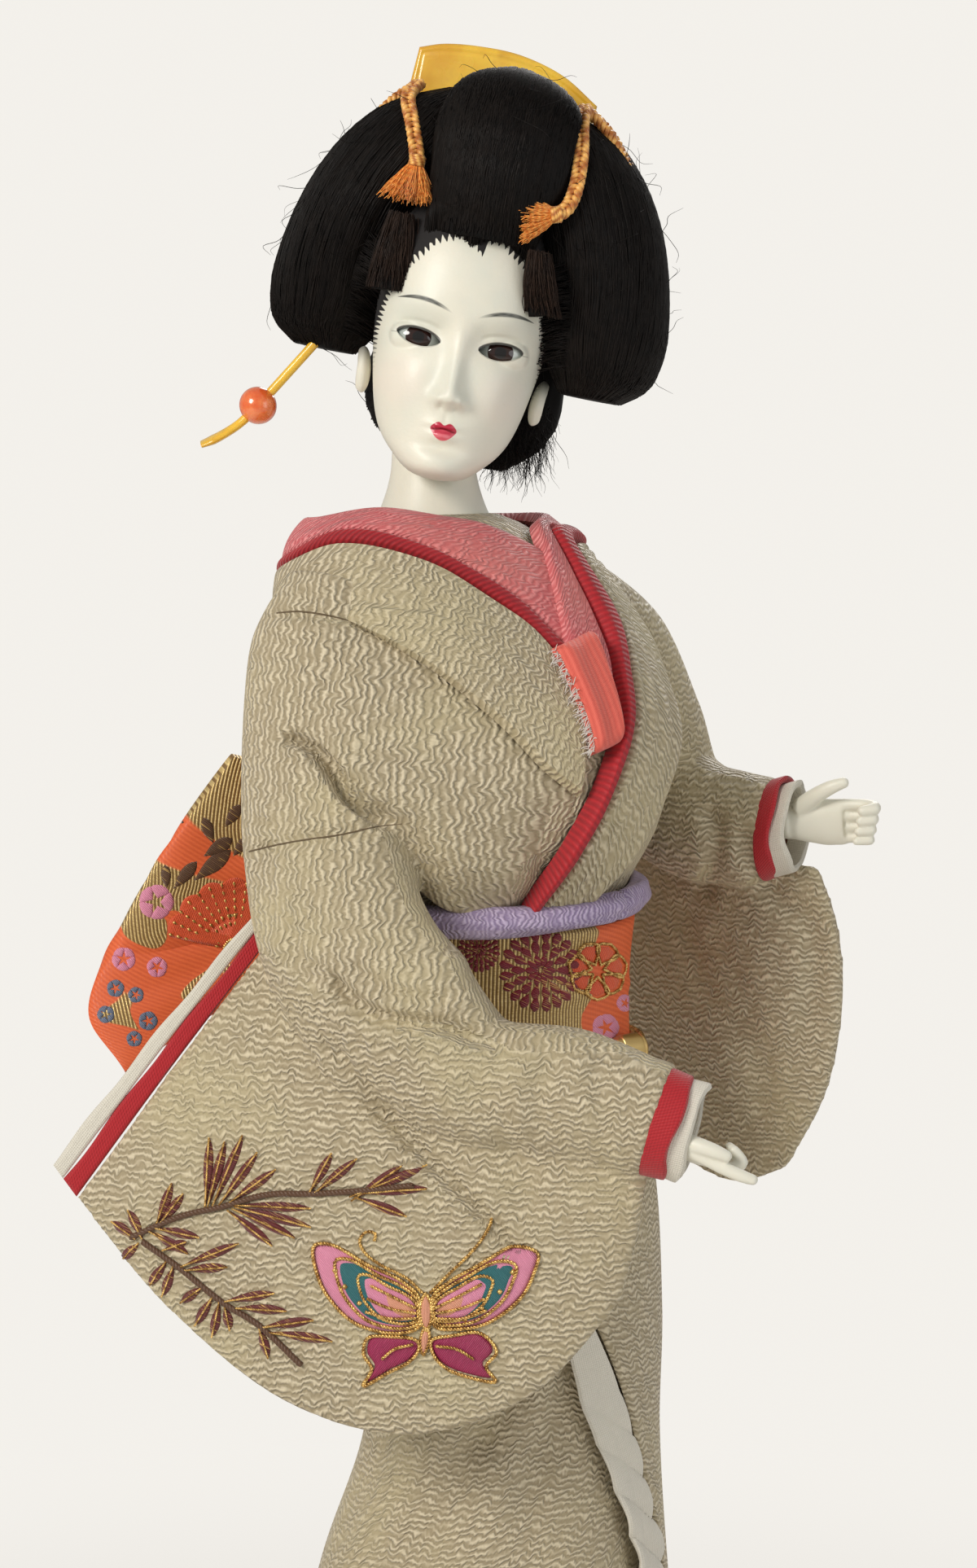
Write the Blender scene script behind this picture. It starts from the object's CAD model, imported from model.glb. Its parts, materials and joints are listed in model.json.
# %% [markdown]
# A dressed doll in a kimono, built as a thin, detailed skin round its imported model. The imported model
# fixes every size and place, so it is loaded first and measured before anything is added to it.

# %% The frame
import json
import math

import bmesh
import bpy
import numpy as np
from mathutils import Matrix, Vector
from mathutils.bvhtree import BVHTree

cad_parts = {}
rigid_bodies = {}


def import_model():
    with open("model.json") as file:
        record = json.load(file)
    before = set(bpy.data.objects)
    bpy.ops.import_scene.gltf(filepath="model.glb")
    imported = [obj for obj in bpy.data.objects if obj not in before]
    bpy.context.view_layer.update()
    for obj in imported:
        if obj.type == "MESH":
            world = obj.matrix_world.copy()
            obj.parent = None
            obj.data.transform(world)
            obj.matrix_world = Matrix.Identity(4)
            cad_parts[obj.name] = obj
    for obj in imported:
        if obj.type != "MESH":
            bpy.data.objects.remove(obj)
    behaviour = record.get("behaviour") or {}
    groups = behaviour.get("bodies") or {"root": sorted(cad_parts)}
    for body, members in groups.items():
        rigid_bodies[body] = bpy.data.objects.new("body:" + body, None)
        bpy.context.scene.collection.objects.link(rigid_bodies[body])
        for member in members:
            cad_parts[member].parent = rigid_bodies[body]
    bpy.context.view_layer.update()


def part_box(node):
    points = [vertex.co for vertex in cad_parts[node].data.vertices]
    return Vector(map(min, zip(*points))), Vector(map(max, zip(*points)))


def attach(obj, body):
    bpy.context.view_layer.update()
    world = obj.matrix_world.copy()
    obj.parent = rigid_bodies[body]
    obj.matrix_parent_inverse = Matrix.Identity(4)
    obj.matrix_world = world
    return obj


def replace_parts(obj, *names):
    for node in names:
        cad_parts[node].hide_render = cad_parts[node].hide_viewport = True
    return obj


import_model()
DOLL = "dressed_body"
MM = 0.001
scene = bpy.context.scene
scene.view_settings.view_transform = "Standard"

# %% [markdown]
# A product photograph is taken with a long lens from a little above. The camera repeats that view: six
# degrees down, 600 mm away, with the doll's middle in the middle of the picture.

# %% Camera
PITCH = math.radians(6)
DISTANCE = 600
AIM = np.array([0, 0, 307])
LENS = 71.78
away = np.array([0, -math.cos(PITCH), math.sin(PITCH)])
EYE_POINT = AIM + DISTANCE * away
camera = bpy.data.objects.new("camera", bpy.data.cameras.new("camera"))
scene.collection.objects.link(camera)
camera.data.lens = LENS
camera.data.sensor_width = 36
camera.data.clip_start = 0.01
camera.location = EYE_POINT * MM
camera.rotation_euler = (math.pi / 2 - PITCH, 0, 0)
scene.camera = camera
print("camera at", [round(float(v), 1) for v in EYE_POINT], "mm")

# %% [markdown]
# Cloth and lacquer show their shape by the way light falls off across them. One broad lamp on the left
# does the modelling, a weaker one fills from the right, and a pale world keeps the shadows open.


# %% Light
def lamp(name, place, target, size, watts, tint):
    """A round soft lamp that looks at a point; place, target and size are in millimetres."""
    light = bpy.data.lights.new(name, "AREA")
    light.shape = "DISK"
    light.size = size * MM
    light.energy = watts
    light.color = tint
    body = bpy.data.objects.new(name, light)
    body.location = Vector(place) * MM
    body.rotation_euler = (Vector(target) - Vector(place)).to_track_quat("-Z", "Y").to_euler()
    scene.collection.objects.link(body)


MIDDLE = (0, 0, 260)
lamp("key_lamp", (-700, -750, 800), MIDDLE, 450, 8.2, (1, 0.97, 0.92))
lamp("fill_lamp", (800, -600, 450), MIDDLE, 700, 1.8, (0.93, 0.96, 1))
lamp("back_lamp", (250, 900, 900), MIDDLE, 600, 4.5, (1, 0.97, 0.94))
world = bpy.data.worlds.new("studio")
scene.world = world
world.use_nodes = True
sky = world.node_tree
background = sky.nodes["Background"]
background.inputs["Strength"].default_value = 0.42
background.inputs["Color"].default_value = (1, 0.985, 0.96, 1)
PALE = (0.90, 0.875, 0.83, 1)
seen = sky.nodes.new("ShaderNodeBackground")
seen.inputs["Color"].default_value = PALE
path = sky.nodes.new("ShaderNodeLightPath")
either = sky.nodes.new("ShaderNodeMixShader")
sky.links.new(path.outputs["Is Camera Ray"], either.inputs[0])
sky.links.new(background.outputs[0], either.inputs[1])
sky.links.new(seen.outputs[0], either.inputs[2])
sky.links.new(either.outputs[0], sky.nodes["World Output"].inputs["Surface"])

# %% [markdown]
# Shader maths reads best as ordinary sums. A small class wraps a socket, so that + - * / and comparisons
# each add one Math node, and one method of the Look class makes every other node.


# %% Shader maths
class Maths:
    """A socket that Python's operators work on."""

    def __init__(self, look, socket):
        self.look = look
        self.socket = socket

    def math(self, operation, *others):
        return self.look.node("Math", {"operation": operation}, dict(enumerate((self, *others))))

    def __add__(self, other):
        return self.math("ADD", other)

    def __sub__(self, other):
        return self.math("SUBTRACT", other)

    def __mul__(self, other):
        return self.math("MULTIPLY", other)

    def __truediv__(self, other):
        return self.math("DIVIDE", other)

    def __pow__(self, other):
        return self.math("POWER", other)

    def __gt__(self, other):
        return self.math("GREATER_THAN", other)

    def __lt__(self, other):
        return self.math("LESS_THAN", other)

    def __neg__(self):
        return self.math("MULTIPLY", -1)

    def __abs__(self):
        return self.math("ABSOLUTE")

    def __rsub__(self, other):
        return self.look.node("Math", {"operation": "SUBTRACT"}, {0: other, 1: self})

    __radd__ = __add__
    __rmul__ = __mul__

    def sin(self):
        return self.math("SINE")

    def cos(self):
        return self.math("COSINE")

    def most(self, other):
        return self.math("MAXIMUM", other)

    def least(self, other):
        return self.math("MINIMUM", other)

    def rise(self, low, high):
        """0 below low, 1 above high, smooth between them; high may be under low."""
        settings = {"interpolation_type": "SMOOTHSTEP"}
        low, high, ends = (low, high, (0, 1)) if low < high else (high, low, (1, 0))
        values = {"Value": self, "From Min": low, "From Max": high, "To Min": ends[0], "To Max": ends[1]}
        return self.look.node("MapRange", settings, values)


class Look:
    """A material in the making, with its one Principled shader."""

    def __init__(self, name, **constants):
        self.material = bpy.data.materials.new(name)
        self.material.use_nodes = True
        self.tree = self.material.node_tree
        self.shader = self.tree.nodes["Principled BSDF"]
        for key, value in constants.items():
            self.shader.inputs[key.replace("_", " ")].default_value = value

    def node(self, kind, settings=None, values=None, out=0):
        """Any node: its type, its settings, its sockets' values or links, and the output wanted."""
        made = self.tree.nodes.new("ShaderNode" + kind)
        for key, value in (settings or {}).items():
            setattr(made, key, value)
        for key, value in (values or {}).items():
            if isinstance(value, Maths):
                self.tree.links.new(value.socket, made.inputs[key])
            else:
                made.inputs[key].default_value = value
        return Maths(self, made.outputs[out])

    def set(self, key, value):
        self.tree.links.new(value.socket, self.shader.inputs[key])

    def uv(self, name="cloth"):
        """The two numbers of a UV map, in millimetres."""
        split = self.node("SeparateXYZ", None, {0: self.node("UVMap", {"uv_map": name})})
        return split, self.other(split, 1)

    def other(self, value, out):
        return Maths(self, value.socket.node.outputs[out])

    def place(self, x, y, z=0.0):
        return self.node("CombineXYZ", None, {0: x, 1: y, 2: z})

    def noise(self, place, scale, detail=2.0, roughness=0.5):
        values = {"Vector": place, "Scale": scale, "Detail": detail, "Roughness": roughness}
        return self.node("TexNoise", None, values)

    def mix(self, share, low, high):
        """Two colours mixed by a share from 0 to 1."""
        low, high = (c if isinstance(c, Maths) else (*c, 1) for c in (low, high))
        return self.node("Mix", {"data_type": "RGBA"}, {0: share, 6: low, 7: high}, out=2)

    def bump(self, height, millimetres):
        values = {"Height": height, "Distance": millimetres * MM, "Strength": 1.0}
        self.set("Normal", self.node("Bump", None, values))


print("shader maths ready")

# %% [markdown]
# Most pieces here are skins over a grid of points: a grid bends round anything, and its rows and columns
# give the cloth its weave direction. These helpers turn a grid into a mesh with a UV map in millimetres.


# %% Meshes from grids
def faces_of_grid(rows, columns, wrapped=False, looped=False):
    """Quads of a grid; wrapped joins the last column to the first, looped the last row to the first."""
    across = columns if wrapped else columns - 1
    along = rows if looped else rows - 1
    i, j = np.meshgrid(np.arange(along), np.arange(across), indexing="ij")
    k, m = (i + 1) % rows, (j + 1) % columns
    quads = [i * columns + j, i * columns + m, k * columns + m, k * columns + j]
    return np.stack(quads, -1).reshape(-1, 4)


def piece(name, points, faces, finish, uv=None, smooth=True, layer="cloth"):
    """A mesh object at the origin. Points are in millimetres; uv gives one pair for each face corner."""
    mesh = bpy.data.meshes.new(name)
    faces = faces.tolist() if isinstance(faces, np.ndarray) else [list(map(int, f)) for f in faces]
    mesh.from_pydata((np.asarray(points, float) * MM).tolist(), [], faces)
    if uv is not None:
        made = mesh.uv_layers.new(name=layer)
        made.data.foreach_set("uv", np.asarray(uv, dtype=np.float32).ravel())
    mesh.materials.append(finish)
    if smooth:
        mesh.shade_smooth()
    mesh.validate()
    mesh.update()
    made = bpy.data.objects.new(name, mesh)
    scene.collection.objects.link(made)
    return made


def faced_out(made):
    """Turns the faces of a closed mesh outwards."""
    held = bmesh.new()
    held.from_mesh(made.data)
    bmesh.ops.recalc_face_normals(held, faces=held.faces)
    held.to_mesh(made.data)
    held.free()
    return made


def evaluated(made):
    """The object with its modifiers applied, as a plain mesh under the same name."""
    graph = bpy.context.evaluated_depsgraph_get()
    mesh = bpy.data.meshes.new_from_object(made.evaluated_get(graph), depsgraph=graph)
    made.modifiers.clear()
    made.data = mesh
    return made


def ruled(keys, values):
    """A smooth curve through (key, value) pairs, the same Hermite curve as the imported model's."""
    keys = np.asarray(keys, float)
    values = np.asarray(values, float).reshape(len(keys), -1)
    order = np.argsort(keys)
    keys, values = keys[order], values[order]
    low = np.maximum(np.arange(len(keys)) - 1, 0)
    high = np.minimum(np.arange(len(keys)) + 1, len(keys) - 1)
    slopes = (values[high] - values[low]) / (keys[high] - keys[low])[:, None]

    def at(where):
        where = np.clip(np.asarray(where, float), keys[0], keys[-1])
        i = np.clip(np.searchsorted(keys, where, side="right") - 1, 0, len(keys) - 2)
        span = keys[i + 1] - keys[i]
        t = ((where - keys[i]) / span)[..., None]
        span = span[..., None]
        return (
            (2 * t**3 - 3 * t**2 + 1) * values[i]
            + (t**3 - 2 * t**2 + t) * slopes[i] * span
            + (3 * t**2 - 2 * t**3) * values[i + 1]
            + (t**3 - t**2) * slopes[i + 1] * span
        )

    return at


def path_through(stops):
    """A centripetal curve through stops, one row each, read at shares from 0 to 1 of the stops' count."""
    stops = np.asarray(stops, float)
    ends = np.concatenate([[2 * stops[0] - stops[1]], stops, [2 * stops[-1] - stops[-2]]])

    def at(share):
        share = np.clip(np.asarray(share, float), 0, 1) * (len(stops) - 1)
        i = np.minimum(share.astype(int), len(stops) - 2)
        t = (share - i)[..., None]
        a, b, c, d = (ends[i + k] for k in range(4))
        pairs = ((a, b), (b, c), (c, d))
        gaps = [np.linalg.norm((q - p)[..., :3], axis=-1, keepdims=True) ** 0.5 for p, q in pairs]
        e, f, g = (np.maximum(gap, 1e-4) for gap in gaps)
        out = ((b - a) / e - (c - a) / (e + f) + (c - b) / f) * f
        into = ((c - b) / f - (d - b) / (f + g) + (d - c) / g) * f
        return b + out * t + (3 * (c - b) - 2 * out - into) * t**2 + (2 * (b - c) + out + into) * t**3

    return at


def unit(vectors):
    return vectors / np.maximum(np.linalg.norm(vectors, axis=-1, keepdims=True), 1e-9)


def slopes_of(grid, axis, wrapped=False):
    """Differences along an axis of a grid of points."""
    if wrapped:
        return np.roll(grid, -1, axis) - np.roll(grid, 1, axis)
    return np.gradient(grid, axis=axis)


def grid_normals(grid, wrapped=False):
    return unit(np.cross(slopes_of(grid, 1, wrapped), slopes_of(grid, 0)))


def lengths(grid, axis):
    """Distance run along each line of a grid, starting from its first point."""
    steps = np.linalg.norm(np.diff(grid, axis=axis), axis=-1)
    start = np.zeros_like(np.take(steps, [0], axis=axis))
    return np.concatenate([start, np.cumsum(steps, axis=axis)], axis=axis)


def shell_faces(rows, columns, wrapped=False, looped=False):
    """Quads of a two-sided sheet: the outer grid, the inner grid after it, and the rims between them."""
    layer = rows * columns
    outer = faces_of_grid(rows, columns, wrapped, looped)
    parts = [outer, outer[:, ::-1] + layer]
    if not wrapped:
        i = np.arange(rows if looped else rows - 1)
        near, far = i * columns, ((i + 1) % rows) * columns
        parts.append(np.stack([near, far, far + layer, near + layer], -1))
        near, far = near + columns - 1, far + columns - 1
        parts.append(np.stack([far, near, near + layer, far + layer], -1))
    if not looped:
        j = np.arange(columns if wrapped else columns - 1)
        near, far = j, (j + 1) % columns
        parts.append(np.stack([far, near, near + layer, far + layer], -1))
        near, far = near + layer - columns, far + layer - columns
        parts.append(np.stack([near, far, far + layer, near + layer], -1))
    return np.concatenate(parts)


def volume_of(points, faces):
    a, b, c, d = (points[faces[:, k]] for k in range(4))
    return float((a * np.cross(b, c)).sum() + (a * np.cross(c, d)).sum()) / 6


def shell(name, outer, inner, finish, wrapped=False, looped=False, uv=None, sharp=50):
    """A closed cloth or pad between an outer and an inner grid of points, with its UV map in millimetres."""
    rows, columns = outer.shape[:2]
    points = np.concatenate([outer.reshape(-1, 3), inner.reshape(-1, 3)])
    faces = shell_faces(rows, columns, wrapped, looped)
    if uv is None:
        uv = np.stack([lengths(outer, 1), lengths(outer, 0)], -1)
    pairs = np.concatenate([uv.reshape(-1, 2)] * 2)[faces]
    if wrapped:
        round_it = uv[..., 0].max(1).mean() * columns / (columns - 1)
        low, high = pairs[..., 0].min(1), pairs[..., 0].max(1)
        across = (high - low > 0.5 * round_it)[:, None]
        pairs[..., 0] += np.where(across & (pairs[..., 0] < 0.5 * round_it), round_it, 0)
    if volume_of(points, faces) < 0:
        faces, pairs = faces[:, ::-1], pairs[:, ::-1]
    made = piece(name, points, faces, finish, pairs)
    if sharp:
        made.data.set_sharp_from_angle(angle=math.radians(sharp))
    return made


def rounded(places, width, least=0.06):
    """The share of a sheet's thickness at each place, with a round edge of this width at both ends."""
    places = np.asarray(places, float)
    near = np.minimum(places - places.min(), places.max() - places)
    return np.sqrt(np.clip(1 - (1 - np.clip(near / width, 0, 1)) ** 2, least**2, 1))


def bell(distance, width):
    return np.exp(-((distance / width) ** 2))


def ease(value, low, high):
    t = np.clip((value - low) / (high - low), 0, 1)
    return t * t * (3 - 2 * t)


print("mesh helpers ready")

# %% [markdown]
# The head of such a doll is carved or cast, then covered with many coats of shell-white paint and rubbed
# smooth. Its features are soft, so they are made as smooth swells and hollows on rings of points. The
# eye openings are the only sharp edges, so they are cut with a boolean.

# %% The head's own frame
HEAD_PLACE = (-6.2, 0, 387.7)
HEAD_TILT = math.radians(11)
HEAD_YAW = math.radians(-8)
head_matrix = (
    Matrix.Translation(HEAD_PLACE) @ Matrix.Rotation(HEAD_TILT, 4, "Y") @ Matrix.Rotation(HEAD_YAW, 4, "Z")
)
HEAD_TURN = np.array(head_matrix.to_3x3())


def from_head(points):
    """Points of the head's frame, in the doll's frame."""
    return np.asarray(points) @ HEAD_TURN.T + np.array(HEAD_PLACE)


def into_head(points):
    return (np.asarray(points) - np.array(HEAD_PLACE)) @ HEAD_TURN


# the face looks a little further to the doll's left than the hair does
FACE_YAW = math.radians(9.5)
FACE_TURN = np.array(Matrix.Rotation(FACE_YAW, 3, "Z"))


def from_face(points):
    return from_head(np.asarray(points) @ FACE_TURN.T)


def into_face(points):
    return into_head(points) @ FACE_TURN


print("head leans", round(math.degrees(HEAD_TILT)), "degrees")

# %% [markdown]
# The face is painted by hand: shell white in many coats, then brows, lashes, lips and the edge of the
# hair in fine strokes. An image texture would have a fixed sharpness, so each stroke is worked out from
# the face's own across and up in millimetres: how far a point lies from a line decides its colour.

# %% The face paint
EYE_X, EYE_Z, EYE_HALF = 7.7, 2.3, 4.1


def head_paint():
    look = Look("face_paint", Roughness=0.42, Coat_Weight=0.15, Coat_Roughness=0.35, Subsurface_Weight=0.06)
    look.shader.inputs["Subsurface Radius"].default_value = (0.003, 0.0018, 0.0012)
    x, z = look.uv("face")
    side = abs(x)
    place = look.place(x, z)
    # many coats: a cool white with faint warm blushes and a little age
    mottle = look.noise(place, 0.09, 3)
    cool = look.mix(mottle.rise(0.35, 0.7), (0.80, 0.765, 0.645), (0.74, 0.735, 0.63))
    blush = ((side - 9.5) / 5) ** 2 + ((z + 6) / 5) ** 2
    skin = look.mix(blush.rise(1.6, 0) * 0.22, cool, (0.86, 0.68, 0.60))
    shade = (((side - EYE_X) / 6) ** 2 + ((z - 6) / 2.6) ** 2).rise(1.4, 0)
    skin = look.mix(shade * 0.3, skin, (0.56, 0.57, 0.48))
    age = (look.noise(place, 0.55, 4, 0.7)).rise(0.66, 0.74) * look.noise(place, 0.07, 1).rise(0.5, 0.62)
    skin = look.mix(age * 0.3, skin, (0.55, 0.44, 0.33))
    # brows: two arcs of fine strokes, thick in the middle
    along = (side - 1.9) / 10.9
    arc = z - (7.4 + 6.0 * along - 4.5 * along * along)
    tapered = (along * (1 - along) * 4).most(0) ** 0.8
    thick = abs(arc) / (tapered * 0.55 + 0.02)
    strokes = look.noise(look.place(side * 0.5, arc * 9), 1.0, 1).rise(0.25, 0.6)
    brow = thick.rise(1.0, 0.35) * (along > 0) * (along < 1) * (0.7 + strokes * 0.3) * along.rise(0, 0.35)
    skin = look.mix(brow * 0.95, skin, (0.022, 0.026, 0.022))
    # lashes: a thin line that follows the upper lid, and a fainter one below
    across = (side - EYE_X) / EYE_HALF
    lid = EYE_Z + 0.15 + across * 0.35 + (1 - across * across).most(0) ** 0.7 * 1.4
    upper = abs(z - lid - 0.14).rise(0.42, 0.14) * (abs(across)).rise(1.05, 0.99)
    under_lid = EYE_Z + 0.05 + across * 0.35 - (1 - across * across).most(0) ** 0.8 * 1.5
    under = abs(z - under_lid + 0.1).rise(0.2, 0.05) * (abs(across)).rise(1.0, 0.9)
    tail_on = abs(across - 1.12).rise(0.2, 0.1)
    tail = abs(z - EYE_Z - 0.12 - across * 0.16).rise(0.13, 0.04) * tail_on
    skin = look.mix((upper * 0.95).most(under * 0.3).most(tail * 0.4), skin, (0.016, 0.014, 0.012))
    # lips: a small bow above and a full curve below
    half = 2.6
    wide = (side / half).least(1)
    top = -11.9 - 0.75 * (-((side / 0.75) ** 2)).math("EXPONENT") - wide**2.4 * 1.55
    low = -15.5 + wide**2.0 * 2.1
    red = (z - top).rise(0.12, -0.12) * (z - low).rise(-0.12, 0.12) * side.rise(half, half - 0.3)
    parting = abs(z + 13.45 - (side * 1.6).cos() * 0.16).rise(0.32, 0.05) * side.rise(half, half - 0.8)
    tint = look.mix(((z + 13.4) / 2.4 + side * 0.18).rise(-1, 0.6), (0.80, 0.13, 0.17), (0.52, 0.02, 0.055))
    lips = look.mix(parting, tint, (0.22, 0.005, 0.015))
    shine = (((side - 0.6) / 1.1) ** 2 + ((z + 14.6) / 0.5) ** 2).rise(1, 0)
    lips = look.mix(shine * 0.35, lips, (0.9, 0.32, 0.35))
    skin = look.mix(red, skin, lips)
    # painted hair edge: strokes that run in from the edge of the hair, longest at the brow's middle
    turn = look.node("Math", {"operation": "ARCTAN2"}, {0: x, 1: z})
    reach = ((x / 15.2) ** 2 + ((z - 1.0) / 20.6) ** 2) ** 0.5
    peak = ((x - 0.6) / 0.9) ** 2
    streak = look.noise(look.place(turn * 34, reach * 1.2), 1.0, 2)
    comb = ((turn * 112 + streak * 3.2).sin() * 0.5 + 0.5) ** 1.1 * (0.6 + streak * 0.7)
    edge = reach + (-peak).math("EXPONENT") * 0.16 + 0.012 * (x * 1.1).sin()
    above = z.rise(-6, 2)
    painted = (edge + comb * 0.075 - 1.07).rise(0, 0.012) * above
    skin = look.mix(painted, skin, (0.012, 0.010, 0.010))
    look.set("Base Color", skin)
    look.set("Roughness", 0.43 - red * 0.24 + painted * 0.4 + mottle * 0.06)
    look.set("Coat Weight", (1 - painted) * 0.15)
    look.bump(look.noise(place, 1.6, 3) + painted * 0.4 + brow * 0.2, 0.04)
    return look.material


face_paint = head_paint()
print("face paint nodes", len(face_paint.node_tree.nodes))

# %% [markdown]
# The rings run from the chin to the crown, and their points lie closer together at the front. The neck
# and the ears are closed bodies of their own, which a boolean joins to the head, and two almond-shaped
# cutters open the eyes.

# %% The face's rings
# height, middle, half-width, front, back
HEAD_RINGS = [
    (-22.9, -11.5, 1.2, 1.6, 1.6), (-22.4, -11.2, 4.0, 5.2, 3.4), (-21.3, -10.4, 6.2, 7.7, 5.6),
    (-19.2, -8.9, 8.6, 9.5, 7.8), (-16.8, -6.8, 10.8, 11.4, 9.6), (-14.0, -4.6, 12.5, 13.7, 11.2),
    (-10.0, -2.6, 13.9, 16.0, 13.6), (-4.0, -0.8, 15.2, 17.9, 16.0), (2.0, 0.3, 16.2, 19.2, 18.0),
    (8.0, 1.0, 16.8, 20.6, 19.4), (14.0, 1.8, 17.0, 21.3, 20.4), (20.0, 2.6, 16.2, 20.6, 19.6),
    (25.0, 3.2, 14.8, 18.4, 17.6), (30.0, 4.0, 11.5, 14.0, 14.0), (33.0, 4.0, 6.6, 8.2, 8.2),
    (34.0, 4.0, 1.0, 1.2, 1.2),
]
NOSE_HEIGHTS = [10, 6, 3, -0.6, -3.8, -6.6, -8.2, -9.3, -10.2, -11.6]
nose_rise = ruled(NOSE_HEIGHTS, [0, 0.25, 0.75, 1.7, 2.75, 3.85, 3.6, 1.7, 0.35, 0])
nose_width = ruled([10, 4, -1, -5, -7.8, -10], [3.0, 1.9, 1.8, 2.1, 2.6, 2.3])


def face_relief(x, z):
    """How far the carved features stand out of the plain ring, towards the front."""
    side = abs(x)
    nose = nose_rise(z)[..., 0] * bell(x, nose_width(z)[..., 0])
    wings = 1.1 * bell(side - 2.3, 1.05) * bell(z + 8.0, 1.15)
    nostril = -0.65 * bell(side - 1.3, 0.6) * bell(z + 9.35, 0.5)
    socket = -1.5 * bell(side - 7.5, 5.0) * bell(z - 2.9, 3.3)
    socket = socket - 0.7 * bell(side - 3.8, 1.9) * bell(z - 3.5, 2.6)
    brow = 0.35 * bell(side - 8, 5) * bell(z - 8.8, 2.4)
    cheek = 1.15 * bell(side - 9.0, 5) * bell(z + 5.5, 5.5)
    hollow = -0.4 * bell(side - 8.5, 3.2) * bell(z + 14.5, 4)
    muzzle = 0.75 * bell(x, 4.6) * bell(z + 13.2, 3.6)
    upper = 0.72 * bell(x, 2.7) * bell(z + 12.75, 0.75) - 0.22 * bell(x, 0.55) * bell(z + 11.6, 1.0)
    lower = 0.85 * bell(x, 2.3) * bell(z + 14.7, 0.95)
    parting = -0.5 * bell(x, 2.7) * bell(z + 13.6, 0.36)
    under = -0.7 * bell(x, 3.4) * bell(z + 16.8, 1.0)
    chin = 0.95 * bell(x, 4.2) * bell(z + 19.7, 2.2)
    middle = nose + wings + nostril + socket + brow + cheek + hollow
    return middle + muzzle + upper + lower + parting + under + chin


def head_points(rows=166, columns=264):
    spread = np.linspace(0, 1, rows)
    heights = -22.9 + 56.9 * (spread + 0.055 * np.sin(2 * np.pi * spread))
    rings = ruled([r[0] for r in HEAD_RINGS], [r[1:] for r in HEAD_RINGS])(heights)
    even = np.linspace(-np.pi, np.pi, columns, endpoint=False)
    turns = even - 0.42 * np.sin(even)
    middle, half, front, back = (rings[:, k][:, None] for k in range(4))
    power = 2.25
    reach = (abs(np.sin(turns)) ** power + abs(np.cos(turns)) ** power) ** (-1 / power)
    x = half * (reach * np.sin(turns))
    depth = np.where(np.cos(turns) > 0, front, back)
    y = middle - depth * (reach * np.cos(turns))
    z = np.broadcast_to(heights[:, None], x.shape).copy()
    ahead = ease(np.cos(turns), 0.15, 0.55)
    y = y - face_relief(x, z) * ahead
    # each lid is the skin drawn over the glass eye
    for side in (1, -1):
        dx, dz = (x - side * EYE_X) / 5.6, (z - EYE_Z) / 4.1
        inside = np.clip(1 - dx**2 - dz**2, 0, 1)
        lid = -12.0 - 4.75 * np.sqrt(inside)
        share = 1 / (1 + np.exp(-(y - lid) / 0.22)) * ease(inside, 0, 0.25) * ahead
        y = y + (lid - y) * share
        across = (x - side * EYE_X) * side / (EYE_HALF + 0.15)
        fold = EYE_Z + 1.6 + 0.35 * across + 1.3 * np.sqrt(np.clip(1 - across**2, 0, 1))
        y = y + 0.3 * bell(z - fold, 0.4) * ease(abs(across), 1.05, 0.7) * ahead
    return np.stack([x, y, z], -1).reshape(-1, 3), rows, columns


def closed_stack(points, rows, columns):
    """Points and faces of rings closed by a point at each end."""
    grid = points.reshape(rows, columns, 3)
    low, high = grid[0].mean(0), grid[-1].mean(0)
    every = np.concatenate([points, [low, high]])
    faces = [list(f) for f in faces_of_grid(rows, columns, wrapped=True)]
    a, b = rows * columns, rows * columns + 1
    last = (rows - 1) * columns
    for j in range(columns):
        k = (j + 1) % columns
        faces.append([k, j, a])
        faces.append([last + j, last + k, b])
    return every, faces


def combined(target, tools, operation):
    """Joins or cuts with each tool in turn, and drops the tools."""
    for tool in tools:
        step = target.modifiers.new(operation.lower(), "BOOLEAN")
        step.operation = operation
        step.solver = "EXACT"
        step.object = tool
        evaluated(target)
    for tool in tools:
        bpy.data.objects.remove(tool)
    return target


def turned(profile, axis_x, axis_y, columns=96):
    """A closed body of revolution about an upright axis, from (radius, height) pairs, bottom first."""
    turn = np.linspace(0, 2 * np.pi, columns, endpoint=False)
    radii, heights = np.array(profile).T
    rings = [
        np.stack([axis_x + r * np.cos(turn), axis_y + r * np.sin(turn), np.full(columns, h)], -1)
        for r, h in zip(radii, heights)
    ]
    return closed_stack(np.concatenate(rings), len(profile), columns)


def ear(side):
    """A small carved ear: an upright oval with a hollow in it and a rim round the hollow."""
    rows, columns = 40, 60
    polar = np.linspace(0.02, np.pi - 0.02, rows)[:, None]
    turn = np.linspace(0, 2 * np.pi, columns, endpoint=False)[None, :]
    out = np.sin(polar) * np.cos(turn)
    back = np.sin(polar) * np.sin(turn)
    up = -np.cos(polar) * np.ones_like(turn)
    width = 2.9 * (1 + 0.24 * up)
    y, z = width * back, 4.35 * up
    rim = 0.25 * bell(np.hypot(back, up) - 0.82, 0.14)
    hollow = 1.35 * bell(back + 0.1, 0.45) * bell(up - 0.12, 0.42) - rim
    x = 1.55 * out - 0.8 * hollow * ease(out, 0, 0.4)
    ridge = 0.35 * bell(back - 0.12, 0.14) * bell(up - 0.25, 0.35) * ease(out, 0, 0.4)
    grid = np.stack([side * (16.9 + x + 0.1 * z + ridge), -0.4 + y + 0.075 * z, -5.1 + z], -1)
    return closed_stack(grid.reshape(-1, 3), rows, columns)


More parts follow.
